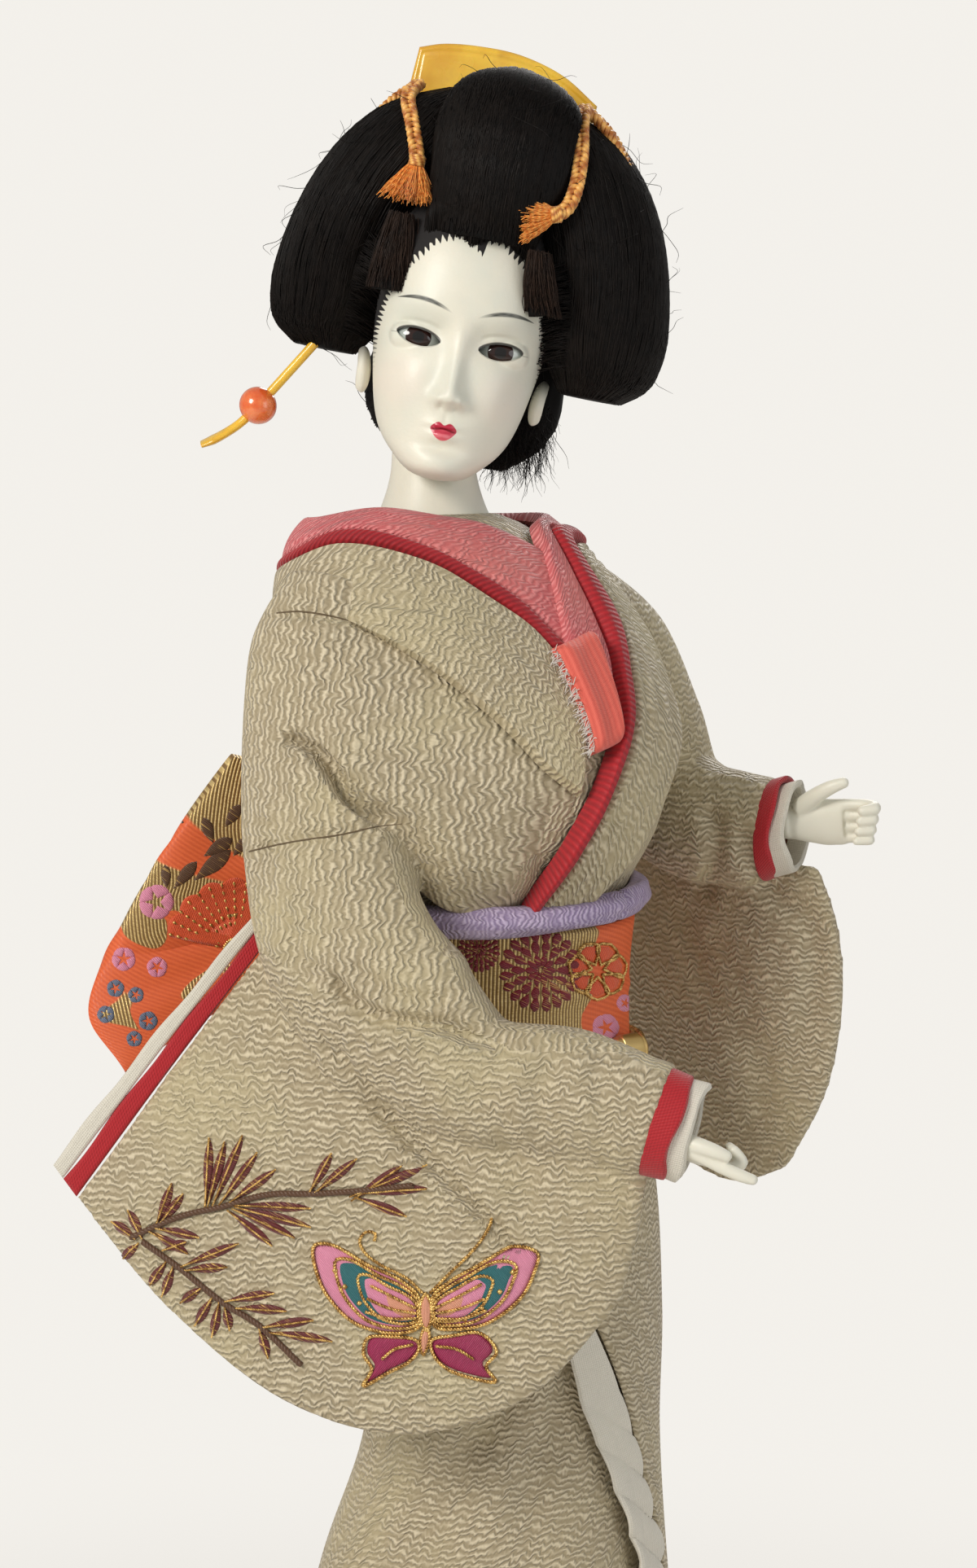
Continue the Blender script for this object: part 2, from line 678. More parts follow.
BUST = [
    (8.6, 342.7), (9.0, 342.8), (12.6, 348.2), (13.2, 350.4), (13.2, 352.4), (12.3, 355), (11.2, 357.6),
    (10.2, 359.6), (9.3, 362), (8.6, 364.4), (8.1, 367), (7.9, 370), (7.75, 374), (7.4, 378), (6.2, 380.2),
    (2, 380.8),
]
neck_curve = ruled([z for _, z in BUST], [r for r, _ in BUST])
neck_profile = [(float(neck_curve(z)[0]), z) for z in np.linspace(342.7, 380.8, 70)]
points, rows, columns = head_points()
points, faces = closed_stack(points, rows, columns)
head = faced_out(piece("head_and_neck", from_face(points), faces, face_paint))
ears = [faced_out(piece("ear", from_face(p), f, face_paint)) for p, f in (ear(1), ear(-1))]
neck = faced_out(piece("neck", *turned(neck_profile, -10.5, 2.5), face_paint))


def almond(side, depth=(-26, -13.2), count=120):
    """The cutter for one eye opening, drawn from its corners."""
    t = np.linspace(0, 2 * np.pi, count, endpoint=False)
    across = np.cos(t)
    bow = np.clip(1 - across**2, 0, 1) ** 0.8
    high = np.clip(1 - across**2, 0, 1) ** 0.7
    up = np.where(np.sin(t) > 0, 0.15 + 1.4 * high, 0.05 - 1.5 * bow) + 0.35 * across
    ring = np.stack([side * (EYE_X + EYE_HALF * across), np.zeros(count), EYE_Z + up], -1)
    rings = [ring + np.array([0, y, 0]) for y in depth]
    return closed_stack(np.concatenate(rings), 2, count)


openings = [faced_out(piece("opening", from_face(p), f, face_paint)) for p, f in (almond(1), almond(-1))]
combined(head, [*ears, neck], "UNION")
combined(head, openings, "DIFFERENCE")


def flat_uv(made, layer, pairs_of):
    """Gives a mesh a UV map from the place of each point, in millimetres."""
    mesh = made.data
    places = np.empty(len(mesh.vertices) * 3)
    mesh.vertices.foreach_get("co", places)
    index = np.empty(len(mesh.loops), dtype=np.int64)
    mesh.loops.foreach_get("vertex_index", index)
    pairs = np.asarray(pairs_of(places.reshape(-1, 3) / MM))[index]
    made_layer = mesh.uv_layers.get(layer) or mesh.uv_layers.new(name=layer)
    made_layer.data.foreach_set("uv", pairs.astype(np.float32).ravel())
    return made


def face_pairs(points):
    """The face's own across and up."""
    return into_face(points)[:, [0, 2]]


flat_uv(head, "face", face_pairs)
head.data.shade_smooth()
head.data.set_sharp_from_angle(angle=math.radians(38))
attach(head, "head")
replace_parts(head, "head")
print("head", len(head.data.polygons), "faces")

# %% [markdown]
# The eyes are glass set in from behind: a dark brown iris that almost fills the opening, a blue-grey
# white at the corners, and a clear shine. A flattened ball with its colour by distance gives all three.


# %% The glass eyes
def eye_glass():
    look = Look("eye_glass", Roughness=0.08, Coat_Weight=0.6, Coat_Roughness=0.03, IOR=1.45)
    x, z = look.uv("eye")
    out = (x * x + z * z) ** 0.5
    iris = out.rise(2.5, 2.3)
    turn = look.node("Math", {"operation": "ARCTAN2"}, {0: x, 1: z})
    fibres = look.noise(look.place(turn * 5, out), 1.4, 2)
    brown = look.mix(fibres * iris, (0.008, 0.0025, 0.002), (0.034, 0.009, 0.005))
    brown = look.mix(out.rise(1.25, 0.95), brown, (0.003, 0.002, 0.002))
    corner = look.mix(out.rise(2.4, 4.6), (0.50, 0.54, 0.50), (0.22, 0.26, 0.25))
    look.set("Base Color", look.mix(iris, corner, brown))
    return look.material


glass = eye_glass()


def eyeball(name, side):
    rows, columns = 48, 64
    polar = np.linspace(0.01, np.pi - 0.01, rows)[:, None]
    turn = np.linspace(0, 2 * np.pi, columns, endpoint=False)[None, :]
    x = 5.0 * np.sin(polar) * np.cos(turn)
    z = 3.7 * np.sin(polar) * np.sin(turn)
    y = -4.05 * np.cos(polar) * np.ones_like(turn)
    local = np.stack([side * EYE_X + x, -12 + y, EYE_Z + z], -1).reshape(-1, 3)
    points, faces = closed_stack(local, rows, columns)
    made = faced_out(piece(name, from_face(points), faces, glass))
    gaze = np.array([side * EYE_X, EYE_Z + 0.1])
    flat_uv(made, "eye", lambda p: into_face(p)[:, [0, 2]] - gaze)
    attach(made, "head")
    return made


for name, side in (("eye_left", 1), ("eye_right", -1)):
    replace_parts(eyeball("glass_" + name, side), name)
print("eyes set at", EYE_X, EYE_Z)

# %% [markdown]
# The kimono is silk crepe: over-twisted threads shrink in the washing and leave wavy, broken ridges a
# little over a millimetre apart. A sine across the cloth gives ridges, noise bends them and breaks them,
# and the same height drives the bump, the colour and the shine, so that light and pattern agree.


# %% Crepe
def crepe(name, crest, trough, pitch=1.32, upright=True, deep=0.46):
    look = Look(name, Sheen_Weight=0.15, Sheen_Roughness=0.4, Specular_IOR_Level=0.6)
    u, v = look.uv()
    if not upright:
        u, v = v, u
    wander = look.noise(look.place(u * 0.18, v * 0.46), 1.0, 2, 0.6)
    zigzag = (v * 1.6 + look.noise(look.place(u * 0.3, v * 0.12, 7.0), 1.0, 1) * 9).sin()
    phase = (u + (wander - 0.5) * 3.5 + zigzag * 0.24) * (2 * math.pi / pitch)
    ridge = phase.sin() * 0.5 + 0.5
    broken = look.noise(look.place(u * 0.72, v * 0.34, 3.0), 1.0, 1).rise(0.34, 0.60)
    ridge = (ridge ** 0.8) * (broken * 0.62 + 0.38)
    fine = look.noise(look.place(u * 9.0, v * 9.0), 1.0, 2, 0.7)
    height = ridge + fine * 0.16
    soft = look.noise(look.place(u * 0.03, v * 0.03, 1.0), 1.0, 3)
    shade = look.mix(ridge.rise(0.05, 0.85), trough, crest)
    aged = tuple(0.84 * c for c in crest[:2]) + (0.70 * crest[2],)
    shade = look.mix(soft.rise(0.42, 0.68) * 0.5, shade, aged)
    look.set("Base Color", shade)
    look.set("Roughness", 0.68 - ridge * 0.34)
    look.bump(height, deep)
    return look.material


KIMONO_CREST, KIMONO_TROUGH = (0.70, 0.60, 0.415), (0.37, 0.298, 0.18)
crepe_upright = crepe("crepe_upright", KIMONO_CREST, KIMONO_TROUGH)
crepe_across = crepe("crepe_across", KIMONO_CREST, KIMONO_TROUGH, pitch=1.3, upright=False)
pink_crepe = crepe("pink_crepe", (0.86, 0.27, 0.27), (0.56, 0.10, 0.11), pitch=1.15, deep=0.26)
print("crepe nodes", len(crepe_upright.node_tree.nodes))

# %% [markdown]
# The linings are plainer. Red silk has fine slanting cords, white cotton a square weave, coral silk a
# rib; each is two crossed sines with a little noise, at the real size of its threads.


# %% Plain cloths
def plain_cloth(name, high, low, across, along, deep=0.09, sheen=0.25, rough=0.7, slant=0.0):
    look = Look(name, Sheen_Weight=sheen, Sheen_Roughness=0.5, Specular_IOR_Level=0.35)
    u, v = look.uv()
    bend = look.noise(look.place(u * 0.25, v * 0.25), 1.0, 2) - 0.5
    warp = ((u + v * slant + bend * 0.5) * (2 * math.pi / across)).sin() * 0.5 + 0.5
    weft = ((v + bend * 0.4) * (2 * math.pi / along)).sin() * 0.5 + 0.5
    weave = warp * 0.6 + weft * 0.4
    slub = look.noise(look.place(u * 0.5, v * 3.2), 1.0, 2)
    tone = look.mix(weave * 0.7 + slub * 0.3, low, high)
    worn = look.noise(look.place(u * 0.05, v * 0.05, 2.0), 1.0, 3).rise(0.45, 0.7)
    look.set("Base Color", look.mix(worn * 0.35, tone, tuple(0.8 * c for c in high)))
    look.set("Roughness", rough - weave * 0.14)
    look.bump(weave + slub * 0.5, deep)
    return look.material


red_silk = plain_cloth("red_silk", (0.52, 0.014, 0.022), (0.32, 0.006, 0.012), 0.62, 0.55, slant=0.5)
RIBBED_HIGH, RIBBED_LOW = (0.52, 0.012, 0.02), (0.19, 0.003, 0.008)
red_cord_silk = plain_cloth("red_ribbed_silk", RIBBED_HIGH, RIBBED_LOW, 1.15, 3.0, 0.22, slant=0.45)
white_cotton = plain_cloth("white_cotton", (0.80, 0.76, 0.67), (0.60, 0.56, 0.46), 0.42, 0.42, sheen=0.1)
coral_silk = plain_cloth("coral_silk", (0.86, 0.17, 0.12), (0.62, 0.085, 0.06), 1.3, 0.34, 0.1)
lavender = crepe("lavender_crepe", (0.52, 0.42, 0.60), (0.27, 0.20, 0.35), pitch=0.9, deep=0.2)
print("plain cloths ready")

# %% [markdown]
# Every garment is wrapped round the same chest and hips, so these two forms are written once, as ovals
# at chosen heights. A point on them is given by a turn in degrees, a rise above the sash's lower edge,
# and how far it is lifted off the form.

# %% The chest's form
WAIST_Z = 249.7
CHEST_TURN = math.radians(40)
ACROSS = np.array([math.cos(CHEST_TURN), math.sin(CHEST_TURN), 0])
AHEAD = np.array([math.sin(CHEST_TURN), -math.cos(CHEST_TURN), 0])
UP = np.array([0, 0, 1.0])
# rise, middle x and y, half-width, depth in front, depth behind
CHEST = [
    (6.3, 1, 0, 25, 21, 21), (18, 1, 0, 25, 21, 21), (36, 1, -1, 27, 24, 22), (50, 1.5, -3, 33, 30, 24),
    (66, 2, -3, 37, 31, 25), (80, -2.5, -2, 36.5, 28, 24), (91, -7.5, -1, 35, 24.5, 21.5),
    (100, -10.5, 0, 30.5, 20.5, 19.5), (105, -12, 0.5, 26.5, 17.5, 17), (108.5, -12.5, 1, 20.5, 14, 14),
    (110, -12, 1.5, 13, 11, 11),
]
chest_at = ruled([r[0] for r in CHEST], [r[1:] for r in CHEST])
CHEST_LOW, CHEST_TOP = CHEST[0][0], CHEST[-1][0]


def bare_chest(turn, rise):
    t = np.radians(turn)
    s = chest_at(rise)
    depth = np.where(np.sin(t) < 0, s[..., 4], s[..., 3])
    middle = np.stack([s[..., 0], s[..., 1], WAIST_Z + np.clip(rise, CHEST_LOW, CHEST_TOP)], -1)
    return middle + ACROSS * (s[..., 2] * np.cos(t))[..., None] + AHEAD * (depth * np.sin(t))[..., None]


def on_chest(turn, rise, lift=0.0):
    """A point of the chest: turn from the doll's left, 90 at the front."""
    turn, rise, lift = np.broadcast_arrays(*(np.asarray(v, float) for v in (turn, rise, lift)))
    level = np.clip(rise, CHEST_LOW + 0.3, CHEST_TOP - 0.3)
    around = bare_chest(turn + 1, level) - bare_chest(turn - 1, level)
    upward = bare_chest(turn, level + 0.3) - bare_chest(turn, level - 0.3)
    return bare_chest(turn, rise) + unit(np.cross(upward, around)) * lift[..., None]


print("chest point", on_chest(90, 60).round(1))

# %% [markdown]
# Below the waist the form is a stack of ovals too, from the hips out to the hem. Seven long folds are
# a cosine round each oval, which grows from nothing at the hips to its full depth at the floor.

# %% The skirt's form
HEM_RISE = -231.4
# rise, middle x and y, half-width, half-depth, depth of the folds
HIPS = [
    (HEM_RISE, -15, 9, 71, 58, 4), (-215, -13, 8, 63, 52, 3.6), (-185, -10, 5, 52, 43, 2.8),
    (-140, -6, 2, 42, 35, 1.8), (-98, -1.2, 0, 34, 29, 0.8), (-69, 3, 0, 28.5, 25.5, 0.2),
    (-45, 3, 0, 29, 26, 0), (-15, 2, 0, 28, 25, 0), (0, 1, 0, 24, 21, 0), (6, 1, 0, 23, 21, 0),
]
hips_at = ruled([r[0] for r in HIPS], [r[1:] for r in HIPS])


def on_skirt(turn, rise, lift=0.0):
    """A point of the skirt: turn from +X towards +Y."""
    turn, rise, lift = np.broadcast_arrays(*(np.asarray(v, float) for v in (turn, rise, lift)))
    t = np.radians(turn)
    s = hips_at(rise)
    fold = s[..., 4] * np.cos(7 * t + np.radians(25 * np.sin(2 * t))) + lift
    x = s[..., 0] + (s[..., 2] + fold) * np.cos(t)
    y = s[..., 1] + (s[..., 3] + fold) * np.sin(t)
    return np.stack([x, y, WAIST_Z + rise], -1)


print("hem point", on_skirt(270, HEM_RISE).round(1))

# %% [markdown]
# Folds in the photograph are easiest to set where they are seen. A point of the picture (1200 by 1926
# pixels) is a ray from the camera, and each fold is a line in the picture that presses into the cloth
# facing the camera, with a soft lip beside it.

# %% Folds placed in the picture
FOCAL = 3840.0
CENTRE_X, CENTRE_Y = 600, 963
AHEAD_OF_EYE = np.array([0, math.cos(PITCH), -math.sin(PITCH)])
UP_OF_EYE = np.array([0, math.sin(PITCH), math.cos(PITCH)])


def seen_at(points):
    """Pixels of the picture where points of the doll are seen."""
    from_eye = np.asarray(points) - EYE_POINT
    depth = from_eye @ AHEAD_OF_EYE
    across = CENTRE_X + FOCAL * from_eye[..., 0] / depth
    down = CENTRE_Y - FOCAL * (from_eye @ UP_OF_EYE) / depth
    return np.stack([across, down], -1)


def ray_to(pixels):
    """The direction in which the camera sees each pixel."""
    pixels = np.asarray(pixels, float)
    right = ((pixels[..., 0] - CENTRE_X) / FOCAL)[..., None] * np.array([1.0, 0, 0])
    down = ((pixels[..., 1] - CENTRE_Y) / FOCAL)[..., None] * UP_OF_EYE
    return unit(right + AHEAD_OF_EYE - down)


def line_distance(points, stops):
    """Distance of flat points from a smooth line through stops, its side, and the share run along it."""
    line = path_through(stops)(np.linspace(0, 1, 60))
    near = np.full(len(points), np.inf)
    side, share = np.zeros(len(points)), np.zeros(len(points))
    for i, (a, b) in enumerate(zip(line[:-1], line[1:])):
        along = b - a
        t = np.clip(((points - a) @ along) / (along @ along), 0, 1)
        away = points - a - t[:, None] * along
        far = np.linalg.norm(away, axis=1)
        closer = far < near
        near = np.where(closer, far, near)
        side = np.where(closer, np.sign(along[0] * away[:, 1] - along[1] * away[:, 0]), side)
        share = np.where(closer, (i + t) / (len(line) - 1), share)
    return near, side, share


def pressed(points, normals, folds):
    """Moves points for folds, each (stops in pixels, depth in mm, width in pixels, lip in mm)."""
    flat = seen_at(points)
    facing = ease(-(normals @ AHEAD_OF_EYE), 0.0, 0.35)
    moved = np.zeros(len(points))
    for stops, depth, width, lip in folds:
        away, side, share = line_distance(flat, stops)
        ends = ease(share, 0.0, 0.12) * ease(share, 1.0, 0.8)
        moved -= depth * bell(away, width) * ends
        moved += lip * bell(away - 1.7 * width, 1.1 * width) * ends * (side > 0)
    return points + normals * (moved * facing)[:, None]


print("a pixel's size at the doll", round(DISTANCE / FOCAL, 3), "mm")

# %% [markdown]
# Cloth is never smooth at rest. A few sines of different lengths and slants, added up, give the slow
# waves that every hanging piece has; each call has its own seed, so no two pieces match.


# %% Slow waves
def waves(points, seed, length, count=7):
    """A smooth height between about -1 and 1 over points in space, with waves about length long."""
    draw = np.random.default_rng(seed)
    total = np.zeros(points.shape[:-1])
    for _ in range(count):
        heading = unit(draw.normal(size=3))
        size = length * draw.uniform(0.7, 1.7)
        total += np.sin(points @ heading * (2 * math.pi / size) + draw.uniform(0, 2 * math.pi))
    return total / count**0.5 / 1.2


def between_lines(upper, lower, across, along):
    """Turns and rises of a strip between two edges, each a list of (turn, rise)."""
    shares = np.linspace(0, 1, along)[None, :, None]
    down = np.linspace(0, 1, across)[:, None, None]
    high, low = path_through(upper)(shares[..., 0]), path_through(lower)(shares[..., 0])
    both = high + (low - high) * down
    return both[..., 0], both[..., 1]


print("wave sample", waves(np.array([[0.0, 0, 0], [10, 5, 0]]), 1, 20).round(2))

# %% [markdown]
# The collars' edges are drawn on the chest first, because the bodice dips along the seam of the right
# one. Each is a smooth line through pairs of turn and rise, from the nape round the neck to the sash.

# %% Edges of the collars
PINK_RIGHT_TOP = [
    (270, 107), (225, 107.5), (184, 107.5), (150, 109), (112, 108), (89, 106.5), (73, 103), (67, 100.5),
]
RED_RIGHT_TOP = [
    (270, 98), (222, 99), (185, 102.2), (158, 105.4), (130, 104.3), (110, 100), (93, 92), (88, 84),
]
RED_RIGHT_LOW = [
    (270, 95), (222, 96.5), (187, 99.8), (157, 103.2), (131, 102), (113, 97.8), (98, 90), (94, 82),
]
RIGHT_LOW = [(270, 80), (222, 84), (187, 91), (156, 89.5), (137, 82.4), (124, 73), (114, 64), (102, 58)]
PINK_LEFT_TOP = [(268, 107), (320, 107), (380, 106.5), (422, 105), (434, 99), (442, 92), (450, 84)]
RED_LEFT_TOP = [
    (268, 98), (322, 99), (370, 101), (418, 103.5), (426, 96), (431, 87.1), (439, 78.5), (445, 72),
    (453, 65), (461, 55.4), (469, 46.4), (474, 41), (478, 36),
]
RED_LEFT_LOW = [
    (268, 95), (322, 96.5), (366, 98.5), (408, 101), (415, 97), (420, 88.3), (432, 78.9), (440, 71.8),
    (449, 64), (457, 54.5), (465, 45.4), (469.5, 41), (474, 36),
]
LEFT_LOW = [
    (268, 80), (320, 84), (352, 91), (380, 93), (394, 88), (406, 79), (415, 71), (425, 61), (434, 50),
    (440, 45), (446, 41), (452, 36),
]
print("collar edges", len(RIGHT_LOW) + len(LEFT_LOW), "stops")

# %% [markdown]
# The bodice is one wrapped shell over the straw chest. Under the arms it is drawn in, and two or three
# soft pleats run from the shoulder to the sash on each side, which is where the cloth is gathered in.

# %% The bodice
turns = np.linspace(0, 360, 210, endpoint=False)[None, :]
rises = np.linspace(6.5, 109.5, 84)[:, None]
pleats = np.clip(np.sin(np.radians(turns * 9 + rises * 1.5)), 0, 1)
drawn_in = 0.9 * pleats * ease(rises, 88, 45) * ease(rises, 30, 45)
lift = -0.15 - drawn_in
seam_turns, seam_rises = path_through(RIGHT_LOW)(np.linspace(0, 1, 200)).T
seam_at = ruled(seam_turns, seam_rises)
below_seam = seam_at(turns)[..., 0] - rises
lift = lift - 0.8 * bell(below_seam - 0.4, 1.3) * (turns > 102) * (turns < 268)
lift = lift + 0.35 * waves(on_chest(turns, rises), 3, 26) - 0.3
bodice_grid = on_chest(turns, rises, lift)
inner = on_chest(turns, rises, lift - 0.9)
bodice = shell("bodice_cloth", bodice_grid, inner, crepe_upright, wrapped=True)
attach(bodice, DOLL)
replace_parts(bodice, "bodice")
print("bodice", len(bodice.data.polygons), "faces")

# %% [markdown]
# The collars are long strips folded double, each laid over the last, the doll's left over its right.
# A strip lies between two edges on the chest, with a rounded fold along each edge. The broad kimono
# collars have long pleats pressed into them, and the narrow red ones are thick and corded.

# %% The collar strips
LEAST_CUT = 0.010
STRIP_ROWS, STRIP_COLUMNS = 22, 190


def cut_to(flat):
    """Declares a sheet by its cut. A cut narrower than 10 mm is given by its area instead."""
    length, width = flat
    area = None if width >= LEAST_CUT else max(length * width, 0.3 * length * LEAST_CUT)
    max(width, LEAST_CUT)


def collar(name, upper, lower, thickness, finish, slot, flat, fold=1.4, pleats=0, under=0.62, over=0.0):
    """A folded strip on the chest; over lets its upper edge stand up a little off the one below."""
    turn, rise = between_lines(upper, lower, STRIP_ROWS, STRIP_COLUMNS)
    run = on_chest(turn, rise, under)
    down = lengths(run, 0)
    width = down[-1].mean()
    share = np.linspace(0, 1, STRIP_ROWS)[:, None]
    round_it = rounded(np.linspace(0, width, STRIP_ROWS), fold)[:, None]
    ends = rounded(lengths(run, 1).mean(0), 0.8)[None, :]
    lift = under + thickness * round_it * ends
    if pleats:
        lines = np.sin(share * math.pi * pleats * 2) * 0.5 + 0.5
        lift -= 0.55 * (1 - lines**0.35) * ease(share, 0.02, 0.12) * ease(share, 1.0, 0.9)
    lift += over * (1 - share) ** 2
    outer = on_chest(turn, rise, lift)
    outer = outer + grid_normals(outer) * (0.16 * waves(outer, len(name), 17) * round_it)[..., None]
    uv = np.stack([lengths(run, 1), down], -1)
    made = shell(name, outer, on_chest(turn, rise, under + 0 * share), finish, uv=uv)
    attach(made, DOLL)
    cut_to(flat)
    return made


def replaced_collar(node, *rest, **more):
    made = collar(node + "_strip", *rest, **more)
    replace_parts(made, node)
    return made


collars = [
    replaced_collar(
        "pink_collar_right", PINK_RIGHT_TOP, RED_RIGHT_TOP, 1.1, pink_crepe, "pink_crepe", (0.125, 0.0105),
        over=0.2,
    ),
    replaced_collar(
        "red_facing_right", RED_RIGHT_TOP, RED_RIGHT_LOW, 1.7, red_cord_silk, "red_silk", (0.125, 0.0034),
        fold=1.3,
    ),
    replaced_collar(
        "kimono_collar_right", RED_RIGHT_LOW, RIGHT_LOW, 1.8, crepe_upright, "crepe", (0.130, 0.019),
        fold=0.5,
    ),
    replaced_collar(
        "pink_collar_left", PINK_LEFT_TOP, RED_LEFT_TOP[:8], 2.6, pink_crepe, "pink_crepe", (0.110, 0.010),
    ),
    replaced_collar(
        "red_facing_left", RED_LEFT_TOP, RED_LEFT_LOW, 4.1, red_cord_silk, "red_silk", (0.175, 0.006),
        fold=1.3,
    ),
    replaced_collar(
        "kimono_collar_left", RED_LEFT_LOW, LEFT_LOW, 3.4, crepe_upright, "crepe", (0.150, 0.0165),
        pleats=4,
    ),
]
for strip in collars:
    print(strip.name, len(strip.data.polygons), "faces")

# %% [markdown]
# The sleeves are one piece of crepe each: an arm that widens to the cuff, and the long bag that hangs
# from it. Each is built as plain bodies, an arm tube and a crowned pad, and on the right also a padded
# front over the chest. A voxel remesh joins them and makes them even. The creases are pressed in
# afterwards, because the remesh would soften them.

# %% Tubes and pads
WRISTS = {"right": np.array([30, -52.5, WAIST_Z + 0.8]), "left": np.array([59, 8.5, WAIST_Z + 49])}
WRIST_AXES = {"right": unit(np.array([0.88, -0.22, -0.42])), "left": unit(np.array([0.93, -0.36, 0.04]))}
OUTWARD = {"right": unit(np.array([-0.35, -1, 0])), "left": unit(np.array([-0.55, -0.83, 0]))}


def raised(stops):
    return [(x, y, WAIST_Z + rise, *rest) for x, y, rise, *rest in stops]


def tube_grid(stops, rows, columns, facing):
    """Rings along a smooth path through stops (x, y, z, half-width, half-depth), the depth along facing."""
    stops = np.asarray(stops, float)
    shares = np.linspace(0, 1, rows)
    middle = path_through(stops[:, :3])(shares)
    along = unit(np.gradient(middle, axis=0))
    side = unit(np.cross(facing, along))
    front = unit(np.cross(along, side))
    keys = np.linspace(0, 1, len(stops))
    wide, deep = (np.interp(shares, keys, stops[:, k])[:, None, None] for k in (3, 4))
    turn = np.linspace(0, 2 * np.pi, columns, endpoint=False)[None, :, None]
    return middle[:, None] + side[:, None] * wide * np.cos(turn) + front[:, None] * deep * np.sin(turn)


def closed_tube(name, grid, finish):
    points, faces = closed_stack(grid.reshape(-1, 3), *grid.shape[:2])
    return faced_out(piece(name, points, faces, finish))


def spanned(top, bottom, start, end, across, along):
    """A sheet between four border lines: top and bottom run across, start and end run down."""
    u = np.linspace(0, 1, across)
    v = np.linspace(0, 1, along)
    t, b, s, e = (path_through(line) for line in (top, bottom, start, end))
    w, h = u[None, :, None], v[:, None, None]
    rails = t(u)[None] * (1 - h) + b(u)[None] * h
    rungs = s(v)[:, None] * (1 - w) + e(v)[:, None] * w
    corners = (s(0.0) * (1 - w) + e(0.0) * w) * (1 - h) + (s(1.0) * (1 - w) + e(1.0) * w) * h
    return rails + rungs - corners


def crowned(sheet, middle, rim, power=0.5):
    """Outer and inner faces of a pad on a sheet, middle thick at its heart and rim thick at its border."""
    along, across = sheet.shape[:2]
    u, v = np.linspace(0, 1, across)[None, :], np.linspace(0, 1, along)[:, None]
    swell = (np.sin(np.pi * u) * np.sin(np.pi * v)).clip(0) ** power
    half = (rim + (middle - rim) * swell)[..., None]
    out = grid_normals(sheet)
    return sheet + out * half, sheet - out * half


print("sleeve bodies ready")

# %% [markdown]
# An arm is given by stops along its middle, with a half-width and a half-depth, and a bag by its four
# borders, all raised from the waist. The creases are lines in the picture, deepest at the elbow, where
# the cloth folds over the bent arm.

# %% Lines of the sleeves
ARMS = {
    "right": raised([
        (-27, -19, 96, 10, 11), (-30, -22, 84, 14, 14), (-30.5, -27, 66, 15, 14),
        (-29.5, -33, 48, 15.5, 13), (-25.5, -38, 32, 16.5, 12), (-15.5, -42, 18.5, 17, 11),
        (-1, -46, 8.8, 11.8, 10), (15, -49, 7.0, 12, 9), (30, -52, 2.6, 10.6, 8.2),
    ]),
    "left": raised([
        (13, 11, 94, 9, 10), (24, 20, 82, 12, 12), (30.5, 26, 66, 13, 12), (35, 25.5, 53, 13, 11),
        (42, 19, 48, 12.4, 10), (49, 14.5, 47.2, 11.4, 9), (56, 10.5, 46.8, 10.6, 8.2),
    ]),
}
BAGS = {
    "right": {
        "top": raised([(-39, -29, 33), (-24, -39, 20), (4, -47, 8), (29, -52, 2)]),
        "bottom": raised([
            (-75.7, -32, -16), (-58, -40, -35), (-36, -45, -51), (-14, -47.5, -56), (8, -49, -48),
            (24, -50, -30),
        ]),
        "rear": raised([(-39, -29, 33), (-57, -31, 9.5), (-75.7, -32, -16)]),
        "front": raised([(29, -52, 2), (27.5, -51, -14), (24, -50, -30)]),
    },
    "left": {
        "top": raised([(24, 46, 43), (34, 34, 46), (46, 19, 42.5), (64.5, 9, 40)]),
        "bottom": raised([(24, 50, -6), (36, 42, -21), (50, 30, -27.5), (60, 22, -23)]),
        "rear": raised([(24, 46, 43), (20, 50, 18), (24, 50, -6)]),
        "front": raised([(64.5, 9, 40), (68.5, 10, 28), (70, 13, 12), (67.5, 17, -6), (60, 22, -23)]),
    },
}
# stops in pixels of the picture, depth in mm, width in pixels, lip in mm
SLEEVE_FOLDS = {
    "right": [
        ([(338, 905), (372, 912), (402, 942), (424, 976), (452, 998), (490, 1014)], 3.6, 7.5, 1.1),
        ([(305, 1046), (365, 1033), (420, 1024), (492, 1012)], 0.9, 7, 0.3),
        ([(340, 754), (390, 754), (440, 763), (490, 786), (530, 808)], 0.8, 7, 0.2),
        ([(395, 1190), (437, 1236), (475, 1252), (533, 1258), (640, 1290)], 3.0, 12, 1.0),
        ([(386, 1270), (450, 1345), (520, 1420), (600, 1500), (655, 1565)], 2.0, 9, 1.0),
        ([(420, 1180), (470, 1215), (520, 1228), (570, 1222)], 1.2, 10, 0.6),
        ([(350, 1130), (365, 1185), (400, 1210)], 1.0, 12, 0.4),
        ([(560, 1320), (610, 1380), (640, 1450), (650, 1520)], 1.1, 24, 0.3),
        ([(680, 1290), (660, 1350), (668, 1420)], 0.8, 16, 0.3),
        ([(740, 1275), (735, 1330), (750, 1400)], 0.7, 14, 0.3),
        ([(330, 1000), (322, 1080), (335, 1160)], 0.9, 16, 0.3),
    ],
    "left": [
        ([(868, 985), (880, 1030), (872, 1080), (858, 1110)], 1.5, 12, 0.5),
        ([(905, 1010), (925, 1060), (960, 1110), (985, 1130)], 1.2, 14, 0.5),
        ([(830, 1100), (850, 1180), (880, 1240), (930, 1290)], 1.6, 18, 0.5),
        ([(860, 1140), (900, 1200), (930, 1300), (940, 1400)], 1.1, 20, 0.3),
        ([(985, 1100), (1000, 1180), (985, 1290)], 0.9, 14, 0.3),
    ],
}


